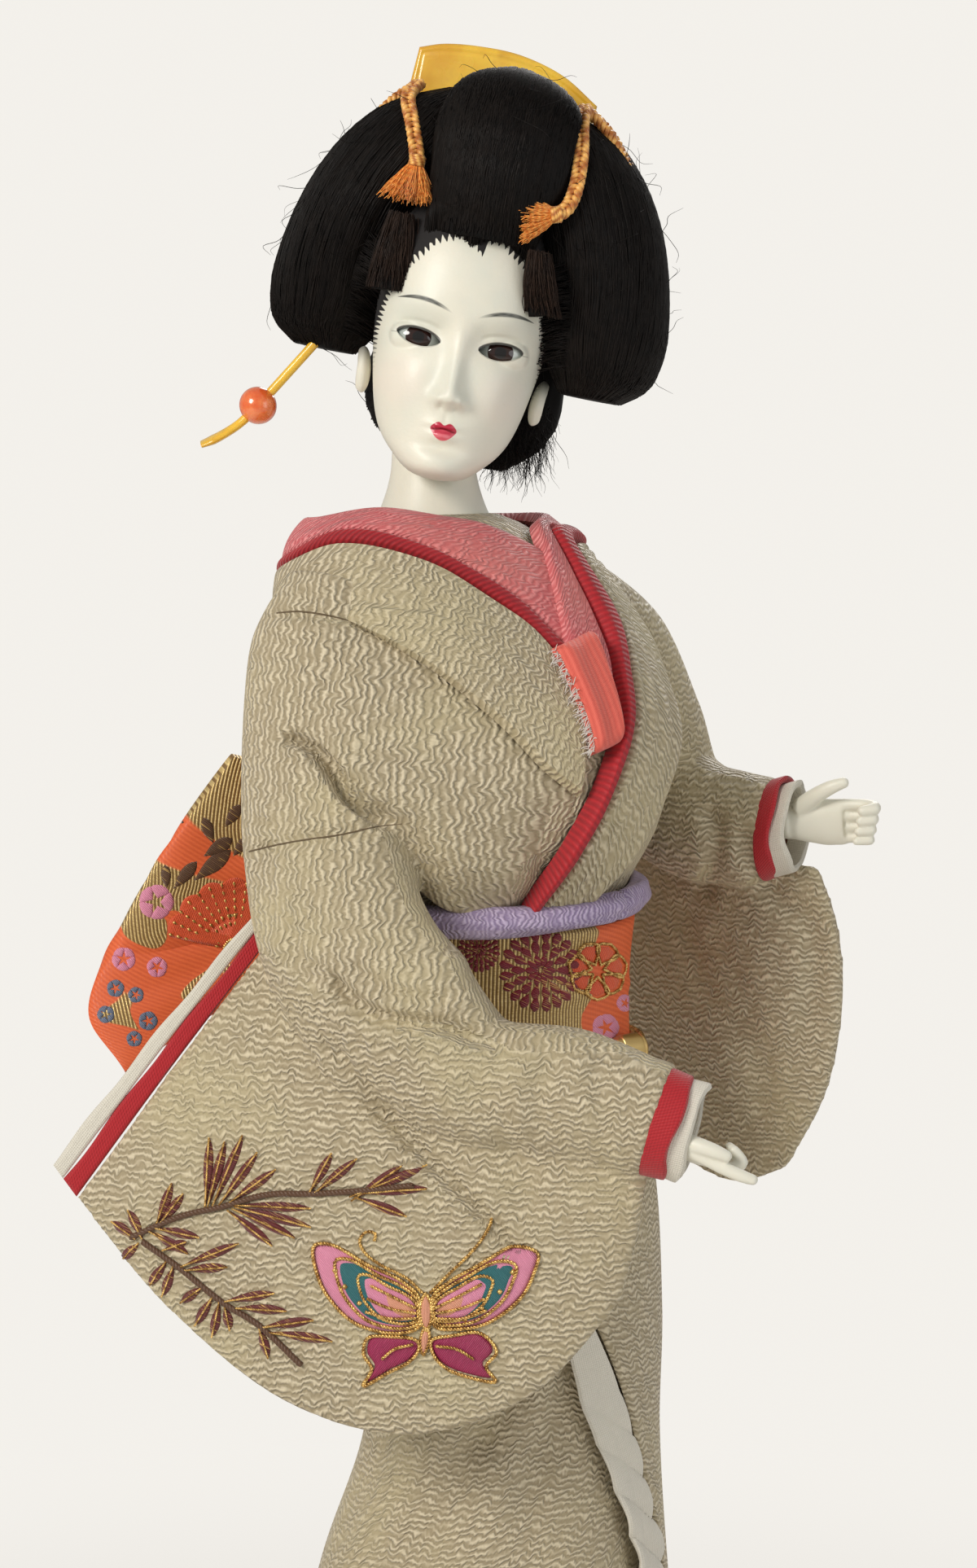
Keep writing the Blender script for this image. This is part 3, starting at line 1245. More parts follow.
def even_body(name, bodies, finish, voxel, rounds=3):
    """Joins closed bodies into one even mesh and relaxes it a little."""
    joined = combined(bodies[0], bodies[1:], "UNION") if len(bodies) > 1 else bodies[0]
    remesh = joined.modifiers.new("even", "REMESH")
    remesh.mode = "VOXEL"
    remesh.voxel_size = voxel * MM
    relax = joined.modifiers.new("relax", "SMOOTH")
    relax.factor = 0.5
    relax.iterations = rounds
    evaluated(joined)
    joined.name = joined.data.name = name
    if not joined.data.materials:
        joined.data.materials.append(finish)
    joined.data.shade_smooth()
    return joined


def points_of(made):
    places = np.empty(len(made.data.vertices) * 3)
    made.data.vertices.foreach_get("co", places)
    return places.reshape(-1, 3) / MM


def normals_of(made):
    normals = np.empty(len(made.data.vertices) * 3, dtype=np.float32)
    made.data.vertex_normals.foreach_get("vector", normals)
    return normals.reshape(-1, 3).astype(float)


def move_to(made, points):
    made.data.vertices.foreach_set("co", (points * MM).ravel())
    made.data.update()


# The upper part of the right sleeve runs on as a padded front over the chest, from the shoulder's seam
# down to the scarf. Its stops are pixels of the picture with a nearness to the camera in mm.
FRONT_PAD = np.array([
    [
        (364, 765, 331), (430, 768, 334.2), (490, 788, 334.2), (550, 826, 334.8), (610, 870, 335),
        (665, 923, 334), (712, 970, 331.2),
    ],
    [
        (346, 830, 332), (420, 835, 339.5), (485, 850, 339.5), (545, 880, 339), (600, 915, 338.2),
        (655, 955, 336), (703, 995, 330.6),
    ],
    [
        (346, 885, 333), (400, 895, 341.2), (472, 912, 342), (540, 938, 341), (595, 965, 339.4),
        (645, 990, 336), (694, 1016, 329.6),
    ],
    [
        (352, 906, 333), (406, 936, 342.4), (464, 974, 343), (535, 1000, 341), (590, 1018, 338.2),
        (638, 1034, 334.2), (684, 1046, 327.5),
    ],
    [
        (360, 925, 329), (420, 968, 334), (484, 1024, 336.6), (540, 1056, 338.4), (590, 1070, 336),
        (634, 1080, 331.5), (668, 1086, 324),
    ],
    [
        (380, 960, 326), (440, 1010, 328), (500, 1080, 329), (545, 1118, 330), (583, 1126, 327.5),
        (618, 1128, 323.5), (645, 1128, 318.5),
    ],
])
# the length of a ray from the camera is this less the nearness
NEAR_FROM = 900.0


def front_pad(name, finish):
    """A closed body between the front surface through the stops and one some way behind it."""
    u, v = np.linspace(0, 1, 80), np.linspace(0, 1, 70)
    rows = np.stack([path_through(row)(u) for row in FRONT_PAD])
    stops = np.stack([path_through(rows[:, k])(v) for k in range(len(u))], 1)
    heading = ray_to(stops[..., :2])
    outer = EYE_POINT + heading * (NEAR_FROM - stops[..., 2:])
    inside = (np.sin(np.pi * u)[None, :] * np.sin(np.pi * v)[:, None]).clip(0) ** 0.4
    return shell(name, outer, outer + heading * (1.5 + 6.5 * inside)[..., None], finish, sharp=0)


# Above the elbow fold the cloth hangs with its ridges upright, and below it they run across.
ELBOW_ACROSS = [200, 300, 384, 437, 475, 533, 581, 640, 900]
elbow_line = ruled(ELBOW_ACROSS, [1150, 1160, 1208, 1236, 1253, 1258, 1268, 1290, 1290])
print("sleeve folds", sum(len(f) for f in SLEEVE_FOLDS.values()))


def wrapped_uv(made, across, facing):
    """A UV map in mm from the front, and from above or the side where a face turns far from the front."""
    mesh = made.data
    normals = np.array([face.normal for face in mesh.polygons])
    sizes = np.array([len(face.vertices) for face in mesh.polygons])
    high, wide, front = (np.abs(normals @ axis) for axis in (UP, across, facing))
    kind = np.where(front > 0.45, 0, np.where(high > wide, 1, 2))
    kind = np.repeat(kind, sizes)[:, None]
    index = np.empty(len(mesh.loops), dtype=np.int64)
    mesh.loops.foreach_get("vertex_index", index)
    p = points_of(made)[index]
    a, f, z = p @ across, p @ facing, p[:, 2]
    from_front, from_above, from_side = (np.stack(pair, -1) for pair in ((a, z), (a, z - f), (a + f, z)))
    pairs = np.where(kind == 0, from_front, np.where(kind == 1, from_above, from_side))
    layer = mesh.uv_layers.get("cloth") or mesh.uv_layers.new(name="cloth")
    layer.data.foreach_set("uv", pairs.astype(np.float32).ravel())


# %% [markdown]
# A cloth simulation would drape a sleeve, but not in the folds that the photograph shows. So the bag
# gets slow waves before it is joined, each crease is pressed into the even mesh in its place, and the
# side away from the camera gets waves of its own. Half the area of the skin tells how much cloth the
# sleeve would take.


# %% The sleeves
def sleeve(side, flat, voxel):
    facing = OUTWARD[side]
    arm = closed_tube("arm", tube_grid(ARMS[side], 60, 60, facing), crepe_across)
    bag = BAGS[side]
    sheet = spanned(bag["top"], bag["bottom"], bag["rear"], bag["front"], 50, 44)
    ripple = 1.1 * waves(sheet, 11 if side == "right" else 12, 46)
    edge = np.sin(np.linspace(0, np.pi, 50))[None, :] * np.sin(np.linspace(0, np.pi, 44))[:, None]
    sheet = sheet + grid_normals(sheet) * (ripple * edge.clip(0) ** 0.5)[..., None]
    pad = shell("bag", *crowned(sheet, 4.0, 0.95), crepe_across, sharp=0)
    bodies = [arm, pad]
    if side == "right":
        bodies.append(front_pad("front", crepe_across))
    made = even_body(f"sleeve_{side}_cloth", bodies, crepe_across, voxel)
    points, normals = points_of(made), normals_of(made)
    points = pressed(points, normals, SLEEVE_FOLDS[side])
    behind = ease(normals @ AHEAD_OF_EYE, 0.1, 0.5)
    points = points + normals * ((0.9 * waves(points, 21, 30) - 0.3) * behind - 0.15)[:, None]
    move_to(made, points)
    if side == "right":
        made.data.materials.append(crepe_upright)
        seen = seen_at(np.array([face.center for face in made.data.polygons]) / MM)
        upper = (seen[:, 1] < elbow_line(seen[:, 0])[:, 0]).astype(np.int32)
        made.data.polygons.foreach_set("material_index", upper)
    across = unit(np.cross(UP, -facing))
    wrapped_uv(made, across, facing)
    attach(made, DOLL)
    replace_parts(made, f"sleeve_{side}")
    cut_to(flat)
    half_area = sum(face.area for face in made.data.polygons) / 2
    print(made.name, len(made.data.polygons), "faces, cloth", round(half_area * 1e4, 1), "square cm")
    return made


sleeves = {"right": sleeve("right", (0.140, 0.105), 0.78), "left": sleeve("left", (0.090, 0.080), 0.92)}

# %% [markdown]
# At each wrist a red and a white lining stand out of the sleeve, and the same two colours show along
# the open rear edge of each bag. They are thin folded strips, a little uneven, as hand-sewn edges are.


# %% Linings
# how much of the way to the wrist's own middle a cuff leans at its outer end
CUFF_LEAN = {"right": 0.0, "left": 0.75}


def cuff(name, side, near, far, inset, finish, slot, flat):
    arm = np.array(ARMS[side])
    along = unit(arm[-1, :3] - arm[-2, :3])
    facing = OUTWARD[side]
    across = unit(np.cross(facing, along))
    front = unit(np.cross(along, across))
    rows, columns = 16, 120
    turn = np.linspace(0, 2 * np.pi, columns, endpoint=False)[None, :]
    out = np.linspace(near, far, rows)[:, None]
    uneven = 0.35 * np.sin(3 * turn + near) + 0.2 * np.sin(5 * turn + 2)
    share = (out - near) / (far - near)
    out = out + uneven * share
    past = np.array(WRISTS[side]) - arm[-1, :3]
    drift = CUFF_LEAN[side] * (past - along * (past @ along)) * share[..., None]
    flare = 0.5 * share * np.sin(2 * turn + 0.8 * near)
    wide, deep = 10.6 - inset + flare, 8.2 - inset + 0.7 * flare
    thick = 0.75 * rounded(np.linspace(0, far - near, rows), 0.6)[:, None]

    def ring(lift):
        sideways = across * ((wide + lift) * np.cos(turn))[..., None]
        sides = sideways + front * ((deep + lift) * np.sin(turn))[..., None]
        return arm[-1, :3] + drift + along * out[..., None] + sides

    made = shell(name, ring(-0.7 + thick), ring(-0.7 - thick), finish, wrapped=True)
    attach(made, DOLL)
    cut_to(flat)
    return made


def rear_edge(name, side, near, far, finish, slot, flat):
    line = path_through(BAGS[side]["rear"])
    heading = unit(np.array([-0.58, 0.02, 0.81]) if side == "right" else np.array([-0.6, 0.8, 0.05]))
    v = np.linspace(0, 1, 90)
    spread = (0.7 + 0.3 * v)[None, :, None]
    out = np.linspace(near, far, 10)[:, None, None]
    wave = 0.25 * np.sin(v * 19 + near)[None, :, None] * (out - near) / (far - near)
    sheet = line(v)[None] + heading * (out + wave) * spread
    half = 0.62 * rounded(np.linspace(0, far - near, 10), 0.7)[:, None, None]
    half = half * rounded(v * 50, 1.0)[None, :, None]
    normal = grid_normals(sheet)
    made = shell(name, sheet + normal * half, sheet - normal * half, finish)
    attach(made, DOLL)
    cut_to(flat)
    return made


for side in ("right", "left"):
    bag_length = 0.062 if side == "right" else 0.050
    # the left cuff is drawn back into its sleeve by this much
    drawn = 0 if side == "right" else 1.8
    red, white = (red_silk, "red_silk"), (white_cotton, "white_cotton")
    red_span = (-1.0 - 0.2 * drawn, 4.2 - drawn)
    white_span = (1.6 - 0.8 * drawn, 6.9 - drawn)
    linings = [
        cuff(f"cuff_red_{side}_cloth", side, *red_span, 0.5, *red, (0.058, 0.0052)),
        cuff(f"cuff_white_{side}_cloth", side, *white_span, 1.5, *white, (0.052, 0.0053)),
        rear_edge(f"bag_edge_red_{side}_cloth", side, 0.3, 4.3, *red, (bag_length, 0.0034)),
        rear_edge(f"bag_edge_white_{side}_cloth", side, 4.5, 7.8, *white, (bag_length, 0.003)),
    ]
    for lining in linings:
        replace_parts(lining, lining.name.removesuffix("_cloth"))
print("linings", len(linings) * 2)

# %% [markdown]
# Below the sash the kimono hangs to the stand and trails out round it. Its folds start at the hips and
# deepen towards the hem, where a red padded roll holds the cloth off the floor. The front lap runs over
# to the doll's left, and its white facing turns outwards below the knee.

# %% The skirt
HEM_RADIUS = 3.4
SKIRT_LOW = HEM_RISE + 2 * HEM_RADIUS + 0.3


def small_drape(turns, rises):
    """Sixteen narrow folds between the long ones, from the knees down."""
    fold = np.sin(np.radians(turns * 16) + 1.4 * np.sin(np.radians(turns * 3)))
    return ease(rises, -60, -215) * (1.3 * fold - 1.0)


turns = np.linspace(0, 360, 230, endpoint=False)[None, :]
rises = np.linspace(SKIRT_LOW, 5.5, 104)[:, None]
skirt_grid = on_skirt(turns, rises, small_drape(turns, rises) - 0.3)
skirt_out = grid_normals(skirt_grid, wrapped=True)
if skirt_out[0, 0, 0] < 0:
    skirt_out = -skirt_out
slack = (0.7 * waves(skirt_grid, 31, 55) - 0.5) * ease(rises, 0, -30)
skirt_grid = skirt_grid + skirt_out * slack[..., None]
SKIRT_FOLDS = [
    ([(700, 1600), (640, 1700), (560, 1790), (470, 1850)], 1.6, 20, 0.8),
    ([(720, 1640), (690, 1720), (660, 1800), (640, 1900)], 1.2, 22, 0.5),
    ([(600, 1760), (560, 1830), (500, 1920)], 1.1, 20, 0.6),
    ([(480, 1760), (440, 1830), (400, 1920)], 1.0, 18, 0.5),
    ([(740, 1560), (768, 1640), (790, 1730), (800, 1850)], 1.0, 16, 0.3),
]
folded = pressed(skirt_grid.reshape(-1, 3), skirt_out.reshape(-1, 3), SKIRT_FOLDS)
skirt_grid = folded.reshape(skirt_grid.shape)
round_skirt = lengths(skirt_grid, 1)
skirt_uv = np.stack([round_skirt - round_skirt.mean(1, keepdims=True), lengths(skirt_grid, 0)], -1)
skirt = shell(
    "skirt_cloth", skirt_grid, skirt_grid - skirt_out * 1.1, crepe_across, wrapped=True, uv=skirt_uv,
)
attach(skirt, DOLL)
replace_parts(skirt, "skirt")
print("skirt", len(skirt.data.polygons), "faces")

# %% [markdown]
# The red hem is a tube of silk stuffed with cotton, sewn on all round. It is a ring of small rings that
# follows the skirt's foot, with gathers where the thread draws the silk in. A padded piece is closed and
# full, so it is declared with its filling and not as a sheet.


# %% The padded hem
def ring_pairs(faces, columns, row_step, column_step, length):
    """UV pairs for a ring of rings, from the steps of its rows and columns, with the seams unrolled."""
    pairs = np.stack([faces // columns * row_step, faces % columns * column_step], -1).astype(float)
    for axis, whole in ((0, length), (1, columns * column_step)):
        wide = (np.ptp(pairs[..., axis], axis=1) > whole / 2)[:, None]
        pairs[..., axis] += np.where(wide & (pairs[..., axis] < whole / 2), whole, 0)
    return pairs


def ring_of_rings(name, grid, finish, row_step, column_step, length):
    """A closed roll from a grid of points that meets itself both ways; its pattern ends at the length."""
    rows, columns = grid.shape[:2]
    points = grid.reshape(-1, 3)
    faces = faces_of_grid(rows, columns, wrapped=True, looped=True)
    if volume_of(points, faces) < 0:
        faces = faces[:, ::-1]
    return piece(name, points, faces, finish, ring_pairs(faces, columns, row_step, column_step, length))


# A step round the skirt is 1.15 mm long and takes 0.85 mm of the pattern, so the silk looks a little
# coarser. The step that closes the ring takes the rest of the length, squeezed into one narrow strip.
HEM_STEPS, HEM_SIDES = 400, 24
HEM_STEP, HEM_SIDE_STEP = 0.85, 0.887
HEM_LENGTH = 459
hem_turns = np.linspace(0, 360, HEM_STEPS, endpoint=False)
on_hem = on_skirt(hem_turns, HEM_RISE, 1 - HEM_RADIUS)
outward = unit(on_skirt(hem_turns, HEM_RISE, 1) - on_skirt(hem_turns, HEM_RISE, 0))
on_hem[:, 2] = WAIST_Z + HEM_RISE + HEM_RADIUS
round_hem = np.linspace(0, 2 * np.pi, HEM_SIDES, endpoint=False)[None, :]
puckers = 0.12 * np.sin(np.radians(hem_turns * 90))[:, None] * np.cos(round_hem) ** 2
radius = (HEM_RADIUS + puckers - 0.08)[..., None]
hem_side = outward[:, None] * np.cos(round_hem)[..., None] + UP * np.sin(round_hem)[..., None]
hem_grid = on_hem[:, None] + radius * hem_side
hem = ring_of_rings("padded_hem", hem_grid, red_silk, HEM_STEP, HEM_SIDE_STEP, HEM_LENGTH)
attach(hem, DOLL)
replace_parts(hem, "hem_roll")
print("hem", len(hem.data.polygons), "faces")

# %% [markdown]
# The doll's left front laps over its right, and its edge turns back to show a white facing. Both are
# thin closed sheets on the skirt's own form, a little off it, with the skirt's small drape added, so
# that they lie on its folds. A ruffle along the facing's free edge keeps it from looking ironed.

# %% The front lap and its facing
PANEL_TOP, PANEL_LOW, PANEL_END = -14, SKIRT_LOW + 2, 425


def lap_edge(rise):
    return 292 + 58 * np.clip((-30 - rise) / 62, 0, 1) + np.maximum(0, -95 - rise) * 0.05


def facing_edge(rise):
    return lap_edge(rise) - 20 * np.clip((PANEL_TOP - rise) / 45, 0.25, 1)


def on_lap(name, start, end, columns, lift, thick, finish, flat, fold, ruffle=0.0):
    rises = np.linspace(PANEL_TOP, PANEL_LOW, 205)[:, None]
    share = np.linspace(0, 1, columns)[None, :]
    turns = start(rises) + (end(rises) - start(rises)) * share
    drape = small_drape(turns, rises)
    wave = ruffle * ease(rises, -45, -90) * np.sin(rises * 0.33 + 3.2 * share) * (0.3 + np.abs(share - 0.4))
    base = on_skirt(turns, rises, np.maximum(drape, -0.6) + lift + np.abs(wave))
    across = lengths(base, 1)
    down = lengths(base, 0)
    half = thick / 2 * rounded(across.mean(0), fold)[None, :, None]
    half = half * rounded(down.mean(1), 1.0)[:, None, None]
    out = grid_normals(base)
    out = out * np.sign((out * (base - base.mean((0, 1)) + AHEAD * 30)).sum(-1).mean())
    middle = base + out * thick / 2
    made = shell(name, middle + out * half, middle - out * half, finish, uv=np.stack([across, down], -1))
    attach(made, DOLL)
    cut_to(flat)
    print(name, len(made.data.polygons), "faces")
    return made


lap = on_lap(
    "front_lap_cloth", lambda r: lap_edge(r) + 1, lambda r: PANEL_END + 0 * r, 72, 0.4, 1.5, crepe_across,
    (0.066, 0.215), 0.9,
)
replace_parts(lap, "front_panel")
facing = on_lap(
    "lap_facing_cloth", facing_edge, lap_edge, 26, 0.4, 1.2, white_cotton, (0.0105, 0.215),
    0.8, ruffle=1.6,
)
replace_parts(facing, "panel_facing")

# %% [markdown]
# Hair, tassels, cords and frayed edges are all lines with a thickness. Two node trees turn lines into
# meshes: one gives each line a round tube with its own thickness, the other plaits several strands
# along it. Both are built here once, with named inputs, and each result is kept as a plain mesh.


# %% Node trees for lines
class Tree:
    """A geometry node tree in the making, with its group inputs by name."""

    def __init__(self, name, inputs):
        self.tree = bpy.data.node_groups.new(name, "GeometryNodeTree")
        self.tree.interface.new_socket("Geometry", in_out="INPUT", socket_type="NodeSocketGeometry")
        for key, kind in inputs.items():
            self.tree.interface.new_socket(key, in_out="INPUT", socket_type="NodeSocket" + kind)
        self.tree.interface.new_socket("Geometry", in_out="OUTPUT", socket_type="NodeSocketGeometry")
        self.given = self.tree.nodes.new("NodeGroupInput")
        self.result = self.tree.nodes.new("NodeGroupOutput")

    def node(self, kind, settings=None, **values):
        """Any node; a socket is given by its name, with _ for a space, or by i and its number."""
        made = self.tree.nodes.new(kind)
        for key, value in (settings or {}).items():
            setattr(made, key, value)
        for key, value in values.items():
            numbered = key[0] == "i" and key[1:].isdigit()
            socket = made.inputs[int(key[1:]) if numbered else key.replace("_", " ")]
            if isinstance(value, bpy.types.NodeSocket):
                self.tree.links.new(value, socket)
            else:
                socket.default_value = value
        return made

    def maths(self, operation, a, b=0.0):
        return self.node("ShaderNodeMath", {"operation": operation}, i0=a, i1=b).outputs[0]

    def scaled(self, vector, share):
        made = self.node("ShaderNodeVectorMath", {"operation": "SCALE"}, Vector=vector, Scale=share)
        return made.outputs[0]

    def kept(self, geometry, name, value, domain):
        """Stores a value on the geometry under a name."""
        settings = {"data_type": "FLOAT", "domain": domain}
        values = {"Geometry": geometry, "Name": name, "Value": value}
        return self.node("GeometryNodeStoreNamedAttribute", settings, **values).outputs[0]

    def read(self, name):
        kept = self.node("GeometryNodeInputNamedAttribute", {"data_type": "FLOAT"}, Name=name)
        return kept.outputs[0]

    def finish(self, geometry):
        real = self.node("GeometryNodeRealizeInstances", Geometry=geometry).outputs[0]
        smooth = self.node("GeometryNodeSetShadeSmooth", Geometry=real).outputs[0]
        finish = self.given.outputs["Finish"]
        made = self.node("GeometryNodeSetMaterial", Geometry=smooth, Material=finish).outputs[0]
        self.tree.links.new(made, self.result.inputs[0])


def tube_tree():
    """Lines to round tubes: each has its own thickness, and thins towards its end."""
    inputs = {"Radius": "Float", "Taper": "Float", "Sides": "Int", "Seed": "Int", "Finish": "Material"}
    made = Tree("tubes", inputs)
    take = made.given.outputs
    curve = made.node("GeometryNodeMeshToCurve", Mesh=take["Geometry"]).outputs[0]
    index = made.node("GeometryNodeInputIndex").outputs[0]
    chance = made.node("FunctionNodeRandomValue", {"data_type": "FLOAT"}, ID=index, Seed=take["Seed"])
    curve = made.kept(curve, "tone", chance.outputs[1], "CURVE")
    run = made.node("GeometryNodeSplineParameter").outputs
    curve = made.kept(curve, "along", run["Length"], "POINT")
    end = made.node("ShaderNodeMapRange", None, Value=run["Factor"], i1=0.6, i2=1.0, i3=0.0, i4=1.0)
    thin = made.maths("SUBTRACT", 1.0, made.maths("MULTIPLY", end.outputs[0], take["Taper"]))
    vary = made.maths("ADD", made.maths("MULTIPLY", made.read("tone"), 0.5), 0.75)
    size = made.maths("MULTIPLY", made.maths("MULTIPLY", thin, vary), take["Radius"])
    ring = made.node("GeometryNodeCurvePrimitiveCircle", Resolution=take["Sides"], Radius=1.0).outputs[0]
    settings = {"Curve": curve, "Profile_Curve": ring, "Scale": size, "Fill_Caps": True}
    made.finish(made.node("GeometryNodeCurveToMesh", None, **settings).outputs[0])
    return made.tree


def plait_tree():
    """Lines to plaits: copies of a line swing across it and weave over and under each other."""
    inputs = {"Strands": "Int", "Width": "Float", "Flat": "Float", "Pitch": "Float", "Radius": "Float"}
    made = Tree("plait", {**inputs, "Step": "Float", "Crossings": "Float", "Finish": "Material"})
    take = made.given.outputs
    curve = made.node("GeometryNodeMeshToCurve", Mesh=take["Geometry"]).outputs[0]
    step = made.maths("MULTIPLY", take["Pitch"], take["Step"])
    curve = made.node("GeometryNodeResampleCurve", {"mode": "LENGTH"}, Curve=curve, Length=step).outputs[0]
    run = made.node("GeometryNodeSplineParameter").outputs
    curve = made.kept(curve, "along", run["Length"], "POINT")
    values = {"Geometry": curve, "Amount": take["Strands"]}
    copies = made.node("GeometryNodeDuplicateElements", {"domain": "SPLINE"}, **values)
    curve = made.kept(copies.outputs[0], "tone", copies.outputs[1], "POINT")
    turn = made.maths("DIVIDE", made.read("along"), take["Pitch"])
    turn = made.maths("ADD", turn, made.maths("DIVIDE", made.read("tone"), take["Strands"]))
    phase = made.maths("MULTIPLY", turn, 2 * math.pi)
    wide = made.maths("MULTIPLY", made.maths("COSINE", phase), take["Width"])
    weave = made.maths("SINE", made.maths("MULTIPLY", phase, take["Crossings"]))
    deep = made.maths("MULTIPLY", weave, made.maths("MULTIPLY", take["Width"], take["Flat"]))
    normal = made.node("GeometryNodeInputNormal").outputs[0]
    tangent = made.node("GeometryNodeInputTangent").outputs[0]
    across = made.node("ShaderNodeVectorMath", {"operation": "CROSS_PRODUCT"}, i0=tangent, i1=normal)
    moves = {"i0": made.scaled(normal, wide), "i1": made.scaled(across.outputs[0], deep)}
    offset = made.node("ShaderNodeVectorMath", {"operation": "ADD"}, **moves)
    curve = made.node("GeometryNodeSetPosition", Geometry=curve, Offset=offset.outputs[0]).outputs[0]
    ring = made.node("GeometryNodeCurvePrimitiveCircle", Resolution=7, Radius=1.0).outputs[0]
    settings = {"Curve": curve, "Profile_Curve": ring, "Scale": take["Radius"], "Fill_Caps": True}
    made.finish(made.node("GeometryNodeCurveToMesh", None, **settings).outputs[0])
    return made.tree


TUBES, PLAIT = tube_tree(), plait_tree()


def grown(name, lines, tree, finish, looped=False, **inputs):
    """Runs a node tree on lines of points in mm, and keeps what it makes as a plain mesh."""
    points, edges, start = [], [], 0
    for line in lines:
        count = len(line)
        points.append(np.asarray(line, float))
        edges += [(start + k, start + k + 1) for k in range(count - 1)]
        if looped:
            edges.append((start + count - 1, start))
        start += count
    mesh = bpy.data.meshes.new(name)
    mesh.from_pydata((np.concatenate(points) * MM).tolist(), edges, [])
    made = bpy.data.objects.new(name, mesh)
    bpy.context.collection.objects.link(made)
    step = made.modifiers.new("grown", "NODES")
    step.node_group = tree
    for item in tree.interface.items_tree:
        if item.in_out == "INPUT" and item.name in inputs:
            step[item.identifier] = inputs[item.name]
        elif item.in_out == "INPUT" and item.name == "Finish":
            step[item.identifier] = finish
    evaluated(made)
    return made


def tubes(name, lines, finish, radius, taper=0.0, sides=5, seed=1):
    return grown(name, lines, TUBES, finish, Radius=radius * MM, Taper=taper, Sides=sides, Seed=seed)


def plait(
    name, lines, finish, width, radius, pitch, strands=4, flat=0.7, crossings=2.0, looped=False, step=0.07,
):
    sizes = {"Width": width * MM, "Radius": radius * MM, "Pitch": pitch * MM, "Flat": flat, "Step": step}
    return grown(name, lines, PLAIT, finish, looped, Strands=strands, Crossings=crossings, **sizes)


print("node trees", len(TUBES.nodes), len(PLAIT.nodes), "nodes")

# %% [markdown]
# Woven flowers and embroidery lie on cloth that is already folded, so they are drawn in the picture and
# dropped onto the cloth along the rays of the camera. Each motif is a low padded shape of its own.


# %% Padded motifs on cloth
def lying_on(made, ray=ray_to, origin=EYE_POINT):
    """A function from pixels and a lift to points on a mesh, along rays from a point."""
    mesh = made.data
    corners = [v.co / MM for v in mesh.vertices]
    skin = BVHTree.FromPolygons(corners, [tuple(face.vertices) for face in mesh.polygons])

    def place(pixels, lift):
        flat = np.asarray(pixels, float).reshape(-1, 2)
        lifts = np.broadcast_to(np.asarray(lift, float), np.shape(pixels)[:-1]).ravel()
        reach = np.linalg.norm(EYE_POINT - WRISTS["right"])
        laid = []
        for heading, high in zip(ray(flat), lifts):
            spot, normal, _, far = skin.ray_cast(Vector(origin), Vector(heading))
            if spot is None:
                spot, normal, _, far = skin.find_nearest(Vector(np.asarray(origin) + heading * reach))
            else:
                reach = far
            facing = normal if normal.dot(Vector(heading)) < 0 else -normal
            laid.append(np.array(spot) + np.array(facing) * high)
        return np.array(laid).reshape(*np.shape(pixels)[:-1], 3)

    return place


def looped_curve(stops, count):
    """A smooth closed outline through stops."""
    stops = np.asarray(stops, float)
    around = np.concatenate([stops[-2:], stops, stops[:3]])
    share = (2 + np.linspace(0, len(stops), count, endpoint=False)) / (len(around) - 1)
    return path_through(around)(share)


def lens(base, tip, width, count=18, full=0.5):
    """The outline of a leaf or petal from its base to its tip."""
    base, tip = np.asarray(base, float), np.asarray(tip, float)
    along = tip - base
    side = np.array([-along[1], along[0]]) / max(np.linalg.norm(along), 1e-6)
    share = np.linspace(0, 1, count // 2)
    half = width / 2 * np.sin(math.pi * share ** (math.log(0.5) / math.log(full))).clip(0) ** 0.75
    left = base + along * share[:, None] + side * half[:, None]
    right = base + along * share[::-1, None] - side * half[::-1, None]
    return np.concatenate([left, right[1:-1]])


def cushions(name, place, outlines, height, finish, stitch=0.0, sink=0.35, shape=0.5, pixel=0.156):
    """Low padded shapes inside closed outlines, each on the cloth below it; stitch turns the threads."""
    points, faces, pairs, start = [], [], [], 0
    scales = (1.0, 0.86, 0.62, 0.32)
    turn = np.array([[math.cos(stitch), -math.sin(stitch)], [math.sin(stitch), math.cos(stitch)]])
    for outline in outlines:
        outline = np.asarray(outline, float)
        count, centre = len(outline), outline.mean(0)
        rings = [centre + (outline - centre) * s for s in scales]
        lifts = [height * (1 - s**2) ** shape for s in scales]
        low = place(rings[0], -sink)
        laid = [low] + [place(ring, max(lift, 0.0)) for ring, lift in zip(rings, lifts)]
        top, bottom = place(centre[None], height), place(centre[None], -sink)
        points += [*laid, top, bottom]
        flat = [rings[0], *rings, centre[None], centre[None]]
        pairs += [(f - centre) @ turn * pixel + centre * 0.07 for f in flat]
        grid = [[start + r * count + c for c in range(count)] for r in range(len(laid))]
        for r in range(len(laid) - 1):
            for c in range(count):
                d = (c + 1) % count
                faces.append([grid[r][c], grid[r][d], grid[r + 1][d], grid[r + 1][c]])
        hub = start + len(laid) * count
        for c in range(count):
            d = (c + 1) % count
            faces.append([grid[-1][c], grid[-1][d], hub])
            faces.append([grid[0][d], grid[0][c], hub + 1])
        start = hub + 2
    points = np.concatenate(points)
    made = faced_out(piece(name, points, faces, finish))
    flat = np.concatenate(pairs)
    index = np.empty(len(made.data.loops), dtype=np.int64)
    made.data.loops.foreach_get("vertex_index", index)
    layer = made.data.uv_layers.new(name="cloth")
    layer.data.foreach_set("uv", flat[index].astype(np.float32).ravel())
    return made


